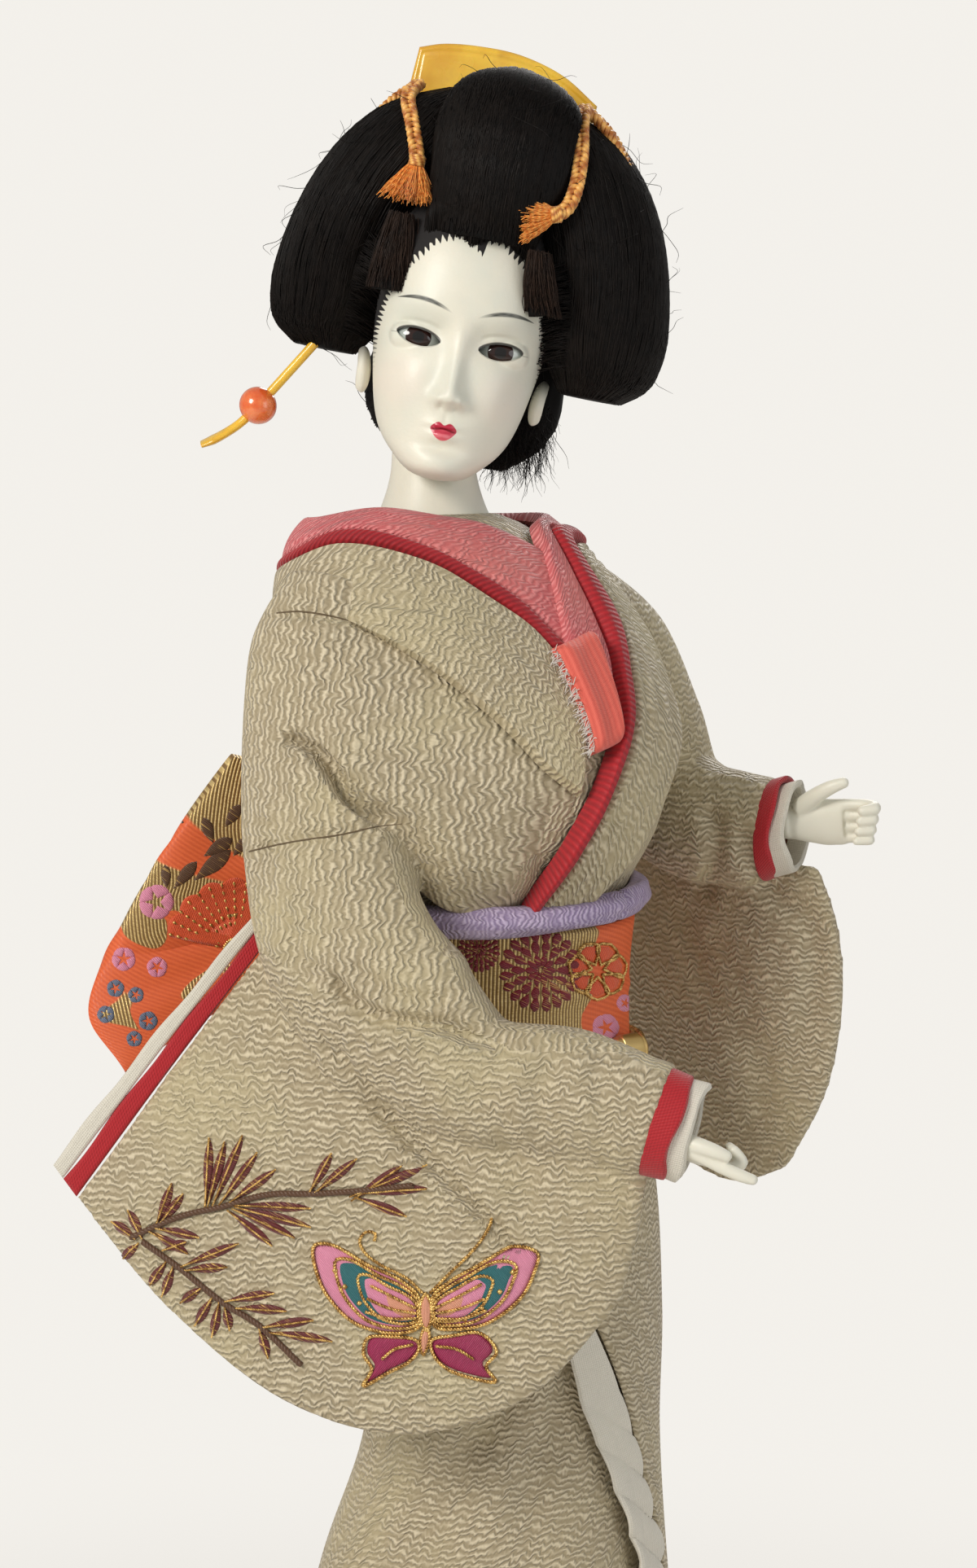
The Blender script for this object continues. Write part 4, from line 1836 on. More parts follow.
def satin(name, high, low, pitch=0.32, gold=0.0, rough=0.42):
    """Satin stitch: fine parallel threads with a soft shine, some of them metal."""
    look = Look(name, Sheen_Weight=0.3, Sheen_Roughness=0.3, Specular_IOR_Level=0.55)
    u, v = look.uv()
    wander = look.noise(look.place(u * 0.4, v * 0.9), 1.0, 2) - 0.5
    thread = ((v + wander * 0.35) * (2 * math.pi / pitch)).sin() * 0.5 + 0.5
    slub = look.noise(look.place(u * 0.35, v * 2.6, 4.0), 1.0, 2)
    tone = look.mix(thread * 0.65 + slub * 0.35, low, high)
    if gold:
        metal = look.noise(look.place(u * 0.2, v * 3.1, 9.0), 1.0, 1).rise(0.62 - gold * 0.2, 0.68)
        tone = look.mix(metal * 0.8, tone, (0.72, 0.46, 0.16))
        look.set("Metallic", metal * 0.7)
    look.set("Base Color", tone)
    look.set("Roughness", rough + 0.16 - thread * 0.2)
    look.bump(thread + slub * 0.4, 0.09)
    return look.material


def gold_thread(name, high=(0.83, 0.56, 0.2), low=(0.34, 0.18, 0.05)):
    look = Look(name, Metallic=0.85, Roughness=0.36)
    spot = look.node("TexCoord", out=3)
    grain = look.noise(spot, 900.0, 2, 0.6)
    look.set("Base Color", look.mix(grain.rise(0.35, 0.62), low, high))
    look.set("Roughness", 0.5 - grain * 0.3)
    look.bump(grain, 0.05)
    return look.material


gold = gold_thread("gold_thread")
maroon_satin = satin("maroon_satin", (0.20, 0.035, 0.035), (0.075, 0.012, 0.015), gold=0.35)
wine_satin = satin("wine_satin", (0.30, 0.015, 0.03), (0.12, 0.005, 0.012), gold=0.1)
pink_satin = satin("pink_satin", (0.86, 0.36, 0.50), (0.62, 0.18, 0.30))
peach_satin = satin("peach_satin", (0.85, 0.42, 0.28), (0.62, 0.24, 0.14))
slate_satin = satin("slate_satin", (0.20, 0.25, 0.36), (0.09, 0.11, 0.17))
teal_satin = satin("teal_satin", (0.035, 0.20, 0.215), (0.012, 0.085, 0.10))
magenta_satin = satin("magenta_satin", (0.46, 0.035, 0.13), (0.23, 0.012, 0.05))
brown_satin = satin("brown_satin", (0.16, 0.075, 0.035), (0.06, 0.026, 0.012), gold=0.2)
orange_satin = satin("orange_satin", (0.86, 0.13, 0.04), (0.60, 0.06, 0.018))
print("threads ready")

# %% [markdown]
# The sash is brocade. On the doll's right it is a gold ribbed ground, on its left a plain orange silk,
# and woven flowers cross both. The ribs are a sine across the cloth, and the flowers are padded shapes.


# %% Brocade
def brocade(name, border=None, ground=0.72, foot=None):
    """Gold ribs beside orange silk, which begins at border along the cloth and below foot, both in mm."""
    look = Look(name, Specular_IOR_Level=0.5)
    u, v = look.uv()
    wander = look.noise(look.place(u * 0.3, v * 0.3), 1.0, 2) - 0.5
    rib = ((u + wander * 0.12) * (2 * math.pi / ground)).sin() * 0.5 + 0.5
    float_thread = look.noise(look.place(u * 0.9, v * 3.6, 2.0), 1.0, 2)
    bright = look.mix(float_thread.rise(0.3, 0.7), (0.60, 0.40, 0.15), (0.86, 0.66, 0.30))
    gold_ground = look.mix(rib.rise(0.15, 0.6), (0.20, 0.11, 0.03), bright)
    twill = ((u * 0.8 + v * 2.6) * 2.4).sin() * 0.5 + 0.5
    silk = look.mix(twill * 0.5 + float_thread * 0.5, (0.62, 0.085, 0.02), (0.86, 0.165, 0.045))
    if border is None:
        share = look.noise(look.place(u * 0.035, v * 0.035, 5.0), 1.0, 0).rise(0.545, 0.555)
    else:
        share = (u + (v * 0.55).sin() * 1.4 + wander * 1.2 - border).rise(-0.25, 0.25)
    if foot is not None:
        height = look.other(look.node("SeparateXYZ", None, {0: look.node("TexCoord", out=3)}), 2) * 1000
        low = (foot - height + wander * 3 + (u * 0.4).sin() * 0.8).rise(-0.3, 0.3)
        patches = look.noise(look.place(u * 0.09, v * 0.09, 9.0), 1.0, 0).rise(0.60, 0.615)
        share = share + low * (1 - patches) * (1 - share)
    look.set("Base Color", look.mix(share, gold_ground, silk))
    look.set("Metallic", (1 - share) * rib * 0.62)
    look.set("Roughness", 0.34 + share * 0.12 + (1 - rib) * 0.2)
    look.bump(rib * (1 - share) + twill * share * 0.3 + float_thread * 0.4, 0.16)
    return look.material


SASH_HIGH = 32.5
SASH_ROWS, SASH_COLUMNS = 46, 220
# where the gold ground ends and the orange begins, in degrees from the doll's left
SASH_BORDER = 86


def on_sash(turn, rise, lift=0.0):
    """A point of the sash, an oval below that meets the chest's own form at its upper edge."""
    turn, rise, lift = np.broadcast_arrays(*(np.asarray(v, float) for v in (turn, rise, lift)))
    t = np.radians(turn)
    high = chest_at(SASH_HIGH)
    share = np.clip((rise - SASH_HIGH / 2) / (SASH_HIGH / 2), 0, 1) ** 1.4
    middle_x, middle_y = 1 + (high[0] - 1) * share, high[1] * share
    wide = 28 + (high[2] + 3 - 28) * share + lift
    deep = 24 + (high[3] + 3 - 24) * share + lift
    middle = np.stack([middle_x, middle_y, WAIST_Z + rise], -1)
    return middle + ACROSS * (wide * np.cos(t))[..., None] + AHEAD * (deep * np.sin(t))[..., None]


turns = np.linspace(0, 360, SASH_COLUMNS, endpoint=False)[None, :]
rises = np.linspace(0.2, SASH_HIGH - 0.2, SASH_ROWS)[:, None]
edge = rounded(rises[:, 0], 1.2)[:, None]
crease = 0.35 * bell(rises - 17 - 2 * np.sin(np.radians(turns)), 1.2)
slack = 0.3 * waves(on_sash(turns, rises), 41, 30) + crease
sash_out = on_sash(turns, rises, -0.75 + 0.8 * edge + slack - 0.3)
sash_run = lengths(sash_out, 1)
border_at = sash_run[SASH_ROWS // 2, int(SASH_BORDER / 360 * SASH_COLUMNS)]
# orange lies from the border round the doll's left, so the length runs from the border backwards
sash_uv = np.stack([sash_run.mean(0)[None, :] + 0 * sash_run, lengths(sash_out, 0)], -1)
sash_finish = brocade("sash_brocade", border=0.0)
sash_uv[..., 0] = border_at - sash_uv[..., 0]
sash = shell("sash_cloth", sash_out, on_sash(turns, rises, -1.9), sash_finish, wrapped=True, uv=sash_uv)
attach(sash, DOLL)
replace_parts(sash, "sash")
print("sash", len(sash.data.polygons), "faces")

# %% [markdown]
# Woven flowers are drawn petal by petal. A petal is a lens between two points, and a flower is a few
# rings of them, so that one function makes every chrysanthemum of the sash and the bow.


# %% Flowers on the sash
def polar(centre, radius, degrees):
    """A point round a centre, in the picture's own across and down."""
    turn = np.radians(degrees)
    return np.asarray(centre, float) + radius * np.array([np.cos(turn), -np.sin(turn)])


def petal(centre, near, far, width, turn, count, full):
    """A lens that points away from a flower's centre."""
    return lens(polar(centre, near, turn), polar(centre, far, turn), width, count, full)


def chrysanthemum(centre, radius):
    """Rings of narrow petals round a small heart."""
    sizes = 0.04 * radius, 0.4 * radius, 0.17 * radius
    petals = [petal(centre, *sizes, a, 14, 0.6) for a in range(0, 360, 36)]
    for ring, (near, far, count, width) in enumerate(((0.32, 0.74, 14, 0.215), (0.62, 1.04, 20, 0.235))):
        step = 360 / count
        starts = (step * (k + 0.5 * ring) for k in range(count))
        sizes = near * radius, far * radius, width * radius
        petals += [petal(centre, *sizes, a, 16, 0.64) for a in starts]
    return petals


def scalloped(centre, radius, petals=7, start=0.0):
    """Broad rounded petals round a heart."""
    step = 360 / petals
    width = 2.1 * radius * math.sin(math.radians(step / 2)) * 0.86
    turns = start + np.arange(petals) * step
    return [petal(centre, 0.2 * radius, radius, width, a, 20, 0.66) for a in turns]


on_sash_seen = lying_on(sash)
sash_motifs = [
    cushions("sash_flower_wine", on_sash_seen, chrysanthemum((664, 1192), 50), 0.32, wine_satin, 0.4),
    cushions("sash_flower_left", on_sash_seen, chrysanthemum((588, 1168), 26), 0.3, wine_satin, 0.4),
]
scallops = scalloped((733, 1192), 36, 7, 12)
inner = [0.72 * s + 0.28 * s.mean(0) for s in scallops]
sash_motifs.append(cushions("sash_flower_gold", on_sash_seen, inner, 0.28, orange_satin, 1.2))
# two plies of gold thread, twisted
TWISTED = {"strands": 2, "flat": 1.0, "crossings": 1.0}
rims = [on_sash_seen(s, 0.2) for s in scallops]
sash_motifs.append(plait("sash_flower_rims", rims, gold, 0.16, 0.17, 1.1, looped=True, step=0.12, **TWISTED))
SMALL_FLOWERS = [((744, 1262), 17), ((712, 1278), 12), ((768, 1232), 11)]
small = [scalloped(spot, size, 5, 20 * k) for k, (spot, size) in enumerate(SMALL_FLOWERS)]
sash_motifs.append(cushions("sash_small_flowers", on_sash_seen, sum(small, []), 0.22, pink_satin, 0.8))
for made in sash_motifs:
    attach(made, DOLL)
print("sash motifs", len(sash_motifs))

# %% [markdown]
# Over the sash's upper edge lies a rolled silk scarf, twisted a little where it is drawn tight, so it
# is a ring of rings with slanting folds. Round the sash's middle runs a thin cord of four strands, which
# the plaiting tree makes from one closed line.


# %% Scarf and cord
def turned_from(turns, start):
    """Degrees from a start, between -180 and 180."""
    return (turns - start + 180) % 360 - 180


turns = np.linspace(0, 360, 400, endpoint=False)
heights = 35.8 + 1.5 * (1 + np.cos(np.radians(turns)))
tucked = bell(turned_from(turns, 28), 42)
heights = heights - 0.8 * tucked
scarf_line = on_chest(turns, heights, 3.9 - 2.3 * tucked)
scarf_out = unit(on_chest(turns, heights, 4) - on_chest(turns, heights, 3))
scarf_up = unit(np.cross(scarf_out, np.roll(scarf_line, -1, 0) - np.roll(scarf_line, 1, 0)))
scarf_up *= np.sign(scarf_up[:, 2:])
phase = np.linspace(0, 2 * np.pi, 44, endpoint=False)[None, :]
twist = np.radians(turns * 4)[:, None]
knot_near = bell(turned_from(turns[:, None], 84), 9)
folds = 0.25 * np.sin(2 * phase + twist) + 0.14 * np.sin(5 * phase - 1.5 * twist)
pinch = 0.35 * bell(turned_from(turns[:, None], 76) + 2.2 * np.sin(phase), 1.6)
radius = 2.85 + folds + 0.22 * knot_near - pinch * 1.6 - 0.5 * tucked[:, None]
scarf_side = scarf_out[:, None] * np.cos(phase)[..., None] + scarf_up[:, None] * np.sin(phase)[..., None]
scarf_grid = scarf_line[:, None] + scarf_side * radius[..., None]
SCARF_STEP, SCARF_SIDE_STEP = 0.45, 0.42
SCARF_LENGTH = 180
scarf = ring_of_rings("scarf_cloth", scarf_grid, lavender, SCARF_STEP, SCARF_SIDE_STEP, SCARF_LENGTH)
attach(scarf, DOLL)
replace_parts(scarf, "scarf_roll")

turns = np.linspace(0, 360, 240, endpoint=False)
cord_line = on_chest(turns, 7 + 0 * turns, 4.8)
sash_cord = plait("sash_cord_braid", [cord_line], gold, 0.82, 0.52, 4.2, strands=4, flat=0.7, looped=True)
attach(sash_cord, DOLL)
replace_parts(sash_cord, "sash_cord")
print("scarf and cord", len(scarf.data.polygons), len(sash_cord.data.polygons), "faces")

# %% [markdown]
# A flat silk pouch is tucked into the collar, with a frayed edge where the cloth's own threads come
# loose. The pouch is a pad between four borders, and the threads are short bent tubes from its edge.

# %% The pouch
pouch_turn, pouch_rise = between_lines([(96.5, 83.5), (79, 86)], [(99, 65.5), (89.5, 67)], 60, 60)
inside = rounded(np.linspace(0, 18, 60), 2.2)[:, None] * rounded(np.linspace(0, 14, 60), 2.0)[None, :]
across = np.linspace(0, 1, 60)[None, :]
pouch_lift = 2.3 + 3.1 * inside + 0.25 * np.sin(across * 9) * inside
pouch_out = on_chest(pouch_turn, pouch_rise, pouch_lift)
pouch = shell("pouch_cloth", pouch_out, on_chest(pouch_turn, pouch_rise, 2.2), coral_silk)
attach(pouch, DOLL)
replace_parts(pouch, "chest_pouch")
FRAY_RUN, FRAY_DROOP = np.array([-0.3, 0.6, 1.4, 2.2]), np.array([0, 0, 0.12, 0.4])
draw = np.random.default_rng(61)
fringe = []
for share in np.linspace(0.02, 0.98, 170):
    row = int(share * 59)
    start = pouch_out[row, draw.integers(0, 2)]
    inwards = unit(pouch_out[row, 30] - start)
    heading = unit(-inwards + 0.5 * draw.normal(size=3) + 0.35 * AHEAD)
    thread = heading * FRAY_RUN[:, None] * draw.uniform(0.5, 1.2)
    fringe.append(start + thread - UP * FRAY_DROOP[:, None])
white_thread = plain_cloth("white_thread", (0.86, 0.82, 0.76), (0.7, 0.66, 0.6), 0.4, 0.4, sheen=0.2)
frayed = tubes("pouch_fray", fringe, white_thread, 0.095, 0.4, 4, 62)
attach(frayed, DOLL)
print("pouch threads", len(fringe))

# %% [markdown]
# The bow stands behind the sash: a knot, two broad wings folded down over the shoulder blades, and a
# tail that hangs to the seat. The wings are crowned pads with a few long folds.


# %% The bow
WAIST_MIDDLE = np.array([1.0, 0, WAIST_Z])


def behind(stops, side=1):
    """Points behind the waist, from (sideways, backwards, upwards)."""
    stops = np.asarray(stops, float)
    place = WAIST_MIDDLE + UP * stops[:, 2:3]
    return place + ACROSS * stops[:, :1] * side - AHEAD * stops[:, 1:2]


def bow_part(name, node, sheet, middle, rim, seed, ripple, folds=(), finish=None):
    out = grid_normals(sheet)
    along, across = sheet.shape[:2]
    over, down = np.sin(np.linspace(0, np.pi, across)), np.sin(np.linspace(0, np.pi, along))
    inside = (over[None, :] * down[:, None]).clip(0) ** 0.4
    u, v = np.linspace(0, 1, across)[None, :], np.linspace(0, 1, along)[:, None]
    bend = ripple * waves(sheet, seed, 30) * inside
    for where, depth, width in folds:
        bend = bend + depth * bell(v - where - 0.12 * np.sin(3 * u), width) * inside
    sheet = sheet + out * bend[..., None]
    made = shell(name, *crowned(sheet, middle, rim), finish or bow_finish)
    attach(made, DOLL)
    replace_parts(made, node)
    print(name, len(made.data.polygons), "faces")
    return made


bow_finish = brocade("bow_brocade")
wing_finish = brocade("wing_brocade", foot=WAIST_Z + 30)
WING_TOP = [(7, 35, 49), (19, 41, 58), (30, 44, 61.5)]
WING_BOTTOM = [(7, 34, 26), (28, 45, 13), (50, 53, -0.5)]
WING_START = [(7, 35, 49), (7, 34, 26)]
WING_END = [(30, 44, 61.5), (39, 51, 46), (47, 58, 28), (53, 61, 11), (50, 53, -0.5)]
wing_folds = ((0.3, 0.9, 0.05), (0.55, -0.9, 0.04), (0.78, 0.8, 0.06))
wings = {}
for side, node in ((-1, "bow_wing_right"), (1, "bow_wing_left")):
    edges = (behind(line, side) for line in (WING_TOP, WING_BOTTOM, WING_START, WING_END))
    wings[side] = bow_part(
        node + "_cloth", node, spanned(*edges, 90, 90), 4.4, 0.85, 50 + side, 0.5, wing_folds,
        wing_finish,
    )
tail_edges = [
    [(-13, 31, 24), (0, 33, 24), (13, 31, 24)], [(-16, 33, -28), (0, 36, -29), (16, 33, -28)],
    [(-13, 31, 24), (-15, 33, -2), (-16, 33, -28)], [(13, 31, 24), (15, 33, -2), (16, 33, -28)],
]
tail_sheet = spanned(*(behind(e) for e in tail_edges), 70, 90)
tail = bow_part("bow_tail_cloth", "bow_tail", tail_sheet, 1.5, 0.8, 57, 0.35)
knot_rise = np.linspace(22, 50, 60)[:, None]
phase = np.linspace(0, 2 * np.pi, 80, endpoint=False)[None, :]
swell = 0.8 + 0.2 * np.sin((knot_rise - 22) / 28 * np.pi)
round_end = rounded(knot_rise[:, 0] - 22, 3.0)[:, None]
wrinkle = 0.35 * np.sin(9 * phase + 0.12 * knot_rise)
wide = 7.6 * swell * (0.8 + 0.2 * round_end) + wrinkle * 0.5
deep = (9 + 2 * (swell - 0.8) / 0.2) * (0.85 + 0.15 * round_end) - 0.4 + wrinkle * 0.5
backwards = AHEAD * (29 + deep * np.sin(phase))[..., None]
sideways = ACROSS * (wide * np.cos(phase))[..., None]
knot_grid = WAIST_MIDDLE + UP * knot_rise[..., None] - backwards + sideways
points, faces = closed_stack(knot_grid.reshape(-1, 3), *knot_grid.shape[:2])
knot = faced_out(piece("bow_knot_cloth", points, faces, bow_finish))
flat_uv(knot, "cloth", lambda p: np.stack([p @ ACROSS + 0.5 * (p @ AHEAD), p[:, 2]], -1))
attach(knot, DOLL)
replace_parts(knot, "bow_knot")

# %% [markdown]
# The hair is combed over padded forms, so each mass is a smooth body with grooves, covered with single
# strands that lie in its combing planes. The front roll and the back are combed from front to back, and
# the wings from the face outwards and up. Rays from outside find where each strand touches its mass.

# %% Hair masses
# height, middle x and y, half-width, half-depth, in the head's own frame
FRONT_ROLL = [
    (22, 2.6, -12, 9, 8), (28, 3.0, -9.5, 12.2, 12), (36, 3.1, -8, 13.6, 14), (43, 3.0, -7, 13.8, 13.5),
    (49.5, 3, -5.5, 12, 11.5), (53, 2.6, -5, 7.6, 7), (54.6, 2.5, -5, 2.5, 2.5),
]
WING = [
    (-2.5, 26, 4, 6, 8), (1, 27, 4.2, 9.5, 12), (8, 26, 4.5, 12.5, 15), (15, 25, 4.5, 13, 16.5),
    (24, 22.5, 4.5, 13.5, 17.5), (32, 18.5, 4.5, 14.5, 17), (40, 13, 4.5, 15, 16), (46, 9, 4.5, 12.5, 12),
    (50, 6, 4.5, 6, 6),
]
NAPE = [
    (-19, 0, 17, 11, 4), (-14, 0, 17, 17, 8), (-7, 0, 17, 20, 10.5), (4, 0, 17, 19, 12), (16, 0, 15, 20, 15),
    (28, 0, 13, 18, 15), (38, 0, 10, 12, 11), (42, 0, 9, 4, 4),
]
CHIGNON = [
    (32, 0, 20, 8, 8), (40, 0, 21, 12, 11), (47, 0, 21, 12.5, 11), (52, 0, 20.5, 10.5, 9),
    (55, 0, 20, 4, 4),
]


def hair_look(name, dark, light, rough=0.4):
    """Combed hair: each strand has its own tone, with fine streaks of a lighter one."""
    look = Look(name, Specular_IOR_Level=0.14)
    tone = look.node("Attribute", {"attribute_name": "tone"}, out=2)
    spot = look.node("TexCoord", out=3)
    streak = look.noise(spot, 420.0, 3, 0.6)
    share = tone * 0.6 + streak.rise(0.3, 0.7) * 0.4
    look.set("Base Color", look.mix(share, dark, light))
    look.set("Roughness", rough + streak * 0.2)
    look.bump(streak, 0.06)
    return look.material


hair_dark = hair_look("hair_combed", (0.0025, 0.002, 0.0018), (0.010, 0.007, 0.0055))
hair_brown = hair_look("hair_cut_ends", (0.007, 0.0045, 0.0035), (0.038, 0.021, 0.014))
hair_under = hair_look("hair_under", (0.002, 0.0016, 0.0015), (0.005, 0.004, 0.0035), 0.6)


def combed_mass(name, node, rings, comb_along, side=1, shrink=0.45):
    """A smooth grooved body in the head's frame, combed along planes of one coordinate."""
    rings = np.array(rings, float)
    rings[:, 1] *= side
    rows, columns = 56, 110
    at, x, y, a, b = path_through(rings)(np.linspace(0, 1, rows)).T
    turn = np.linspace(0, 2 * np.pi, columns, endpoint=False)
    wide = x[:, None] + np.cos(turn)[None, :] * (a - shrink)[:, None]
    deep = y[:, None] + np.sin(turn)[None, :] * (b - shrink)[:, None]
    grid = np.stack([wide, deep, np.repeat(at[:, None], columns, 1)], -1)
    plane = grid[..., comb_along]
    groove = np.sin(plane * 4.1 + np.sin(plane * 0.9)) * 0.09 + np.sin(plane * 9.3) * 0.05
    heart = np.stack([x, y, at], -1)[:, None]
    grid = grid + unit(grid - heart) * groove[..., None]
    points, faces = closed_stack(from_head(grid.reshape(-1, 3)), rows, columns)
    made = faced_out(piece(name, points, faces, hair_under))
    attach(made, "head")
    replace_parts(made, node)
    return made


masses = {
    "front": combed_mass("front_roll", "hair_front", FRONT_ROLL, 0),
    "right": combed_mass("wing_right_mass", "hair_wing_right", WING, 1, -1),
    "left": combed_mass("wing_left_mass", "hair_wing_left", WING, 1, 1),
    "nape": combed_mass("nape_mass", "hair_nape", NAPE, 0),
    "chignon": combed_mass("chignon_mass", "hair_chignon", CHIGNON, 0),
}
print("hair masses", len(masses))

# %% [markdown]
# Combed hair reads as hair only where single strands catch the light. Each strand is a line that rays
# find on its mass, at a small height of its own, and the tube tree gives it three sides, because
# thousands of strands have to share the triangles.


# %% Combed strands
def skin_of(made):
    corners = [Vector(p) for p in into_head(points_of(made))]
    return BVHTree.FromPolygons(corners, [tuple(face.vertices) for face in made.data.polygons])


def laid_strands(made, axis, centre, planes, arc, count, seed, steps=22, lift=0.16):
    """Strands on a mass: each runs in a plane of one coordinate, round a centre line, over an arc."""
    skin = skin_of(made)
    draw = np.random.default_rng(seed)
    lines = []
    for plane in draw.uniform(*planes, count):
        ends = np.radians(draw.uniform(-14, 14, 2) + np.array(arc))
        drift, high, phase = draw.normal(0, 0.8), draw.uniform(0.0, lift), draw.uniform(0, 6.28)
        line = []
        for k, turn in enumerate(np.linspace(*ends, steps)):
            share = k / (steps - 1)
            heart = np.array(centre, float)
            heart[axis] = plane + drift * share + 0.16 * math.sin(5 * share + phase)
            heading = np.zeros(3)
            heading[1 - axis], heading[2] = math.cos(turn), math.sin(turn)
            spot, normal, _, _ = skin.ray_cast(Vector(heart + heading * 70), Vector(-heading), 70)
            if spot is not None:
                line.append(np.array(spot) + np.array(normal) * (0.06 + high))
        if len(line) > 6:
            lines.append(from_head(np.array(line)))
    return lines


def meridian_strands(rings, side, count, seed, steps=19, lift=0.12):
    """Strands drawn down over a mass from its top to its foot, gathered at both."""
    rings = np.array(rings, float)
    rings[:, 1] *= side
    draw = np.random.default_rng(seed)
    curve = path_through(rings)
    lines = []
    for _ in range(count):
        ends = np.sort(np.append(draw.uniform(0.0, 0.16, 1), draw.uniform(0.86, 1.0, 1)))
        share = np.linspace(*ends, steps)
        at, x, y, a, b = curve(share).T
        start, phase = draw.uniform(0, 2 * np.pi), draw.uniform(0, 6)
        turn = start + 0.5 * side * (share - 0.5) + 0.03 * np.sin(9 * share + phase)
        high = draw.uniform(-0.38, lift - 0.38) + 0.06
        x, y = x + (a + high) * np.cos(turn), y + (b + high) * np.sin(turn)
        lines.append(from_head(np.stack([x, y, at], -1)))
    return lines


strand_sets = {
    "front_strands": laid_strands(
        masses["front"], 0, (3, -6, 34), (-10.6, 16.6), (226, -10), 1300, 71, 12, 0.12,
    ),
    "wing_right_strands": meridian_strands(WING, -1, 1100, 72, 13),
    "wing_left_strands": meridian_strands(WING, 1, 1100, 73, 13),
    "nape_strands": laid_strands(masses["nape"], 0, (0, 12, 12), (-19, 19), (-75, 75), 800, 74, 10, 0.12),
    "chignon_strands": laid_strands(
        masses["chignon"], 0, (0, 20, 44), (-12, 12), (-60, 200), 600, 75, 11, 0.12,
    ),
}
for name, lines in strand_sets.items():
    made = tubes(name, lines, hair_dark, 0.125, 0.4, 3, 76)
    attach(made, "head")
    print(name, len(lines), "strands", len(made.data.polygons), "faces")

# %% [markdown]
# Between the hairline and the rolls the hair is drawn straight back, so short strands bridge the gap.
# The two locks at the brow hang free, cut off bluntly, and a few hairs have worked loose everywhere.

# %% Hairline, locks and loose hairs
HAIRLINE = [
    (-16.2, -1, 0), (-16.0, 0, 6), (-15.2, 0, 11), (-13.6, 0, 15.5), (-11, 0, 19), (-7, 0, 21.6),
    (-3, 0, 22.3), (0, 0, 21.6), (1.7, 0, 20.4), (3.4, 0, 21.6), (7, 0, 22.2), (11, 0, 20), (14, 0, 16),
    (15.8, 0, 11), (16.6, 0, 5), (16.8, 0, 0),
]
face_skin = skin_of(head)
side_skins = {-1: skin_of(masses["right"]), 1: skin_of(masses["left"])}
front_skin = skin_of(masses["front"])
draw = np.random.default_rng(81)
roots = path_through(HAIRLINE)
bridges = []
for share in draw.uniform(0, 1, 1150):
    root = FACE_TURN @ roots(share) + np.array([*draw.normal(0, 0.25, 1), 0, draw.normal(0, 0.3)])
    spot = face_skin.ray_cast(Vector((root[0], -60, root[2])), Vector((0, 1, 0)))[0]
    if spot is None:
        continue
    start = np.array(spot)
    side = 1 if root[0] > 0 else -1
    near_top = root[2] > 17
    away, high = (1.1 * root[0], 7) if near_top else (1.32 * root[0] + side * 1.5, draw.normal(2.4, 1.3))
    goal = Vector((away, -40, root[2] + high))
    skin = front_skin if near_top else side_skins[side]
    end = skin.ray_cast(goal, Vector((0, 1, 0)))[0]
    if end is None:
        end = skin.find_nearest(Vector(start + np.array([0, 2, 3])))[0]
    end = np.array(end)
    middle = (start + end) / 2 + np.array([0, -0.5, 0.2])
    bridge = path_through([start + np.array([0, 0.25, 0]), middle, end + np.array([0, 0.4, 0])])
    bridges.append(from_head(bridge(np.linspace(0, 1, 8))))

# x, y, z, half-width and half-depth, in the head's own frame
LOCKS = {
    "right": [(-12.8, -14, 24, 2.2, 1.6), (-12.4, -15, 16.5, 3.6, 1.8), (-12, -15.4, 9.8, 4.5, 1.5)],
    "left": [(14.0, -16.0, 21.5, 2, 1.5), (15.2, -15.6, 15.7, 2.8, 1.7), (16.6, -14.0, 10.6, 3.4, 1.4)],
}


def side_lock(side):
    """A lock's solid core, and the lines of the hairs that cover it."""
    stops = np.array(LOCKS[side])
    body = tube_grid([(*s[:3], 0.8 * s[3], 0.7 * s[4]) for s in stops], 20, 40, np.array([0, -1.0, 0]))
    core = closed_tube(f"lock_{side}_core", from_head(body), hair_under)
    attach(core, "head")
    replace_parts(core, f"sidelock_{side}")
    run = np.linspace(0, 1, 12)
    line = path_through(stops)(run)
    chances = np.random.default_rng(83 + len(side))
    hairs = []
    for _ in range(620):
        turn, far = chances.uniform(0, 2 * np.pi), chances.uniform(0.45, 1.12) ** 0.5
        turns_on = turn + chances.normal(0, 0.35) * run
        cut = chances.integers(9, 13)
        across, deep = line[:, 3] * np.cos(turns_on) * far, line[:, 4] * np.sin(turns_on) * far
        spread = np.stack([across, deep, 0 * run], -1)
        swing, pace, phase = chances.normal(0, 0.22, 3), chances.uniform(3, 7), chances.uniform(0, 6)
        sway = swing * np.sin(pace * run + phase)[:, None]
        hairs.append(from_head((line[:, :3] + spread + sway)[:cut]))
    return hairs


loose = []
for key, count in (("right", 70), ("left", 80), ("front", 26), ("nape", 26)):
    skin = skin_of(masses[key])
    corners = [v.co for v in masses[key].data.vertices]
    middle = np.array(sum(corners, Vector()) / len(corners)) / MM
    heart = into_head(middle[None])[0]
    for _ in range(count):
        heading = unit(np.array([draw.normal(), draw.normal() - 0.6, draw.normal()]))
        spot, normal, _, _ = skin.ray_cast(Vector(heart + heading * 60), Vector(-heading))
        if spot is None:
            continue
        start, out = np.array(spot), np.array(normal)
        along = unit(np.cross(out, draw.normal(size=3)))
        reach = draw.uniform(4, 9)
        stops = [
            start,
            start + along * reach * 0.4 + out * 0.8,
            start + along * reach * 0.8 + out * draw.uniform(0.5, 3),
            start + along * reach + out * draw.uniform(-0.2, 3.5),
        ]
        loose.append(from_head(path_through(stops)(np.linspace(0, 1, 12))))
nape_hairs = []
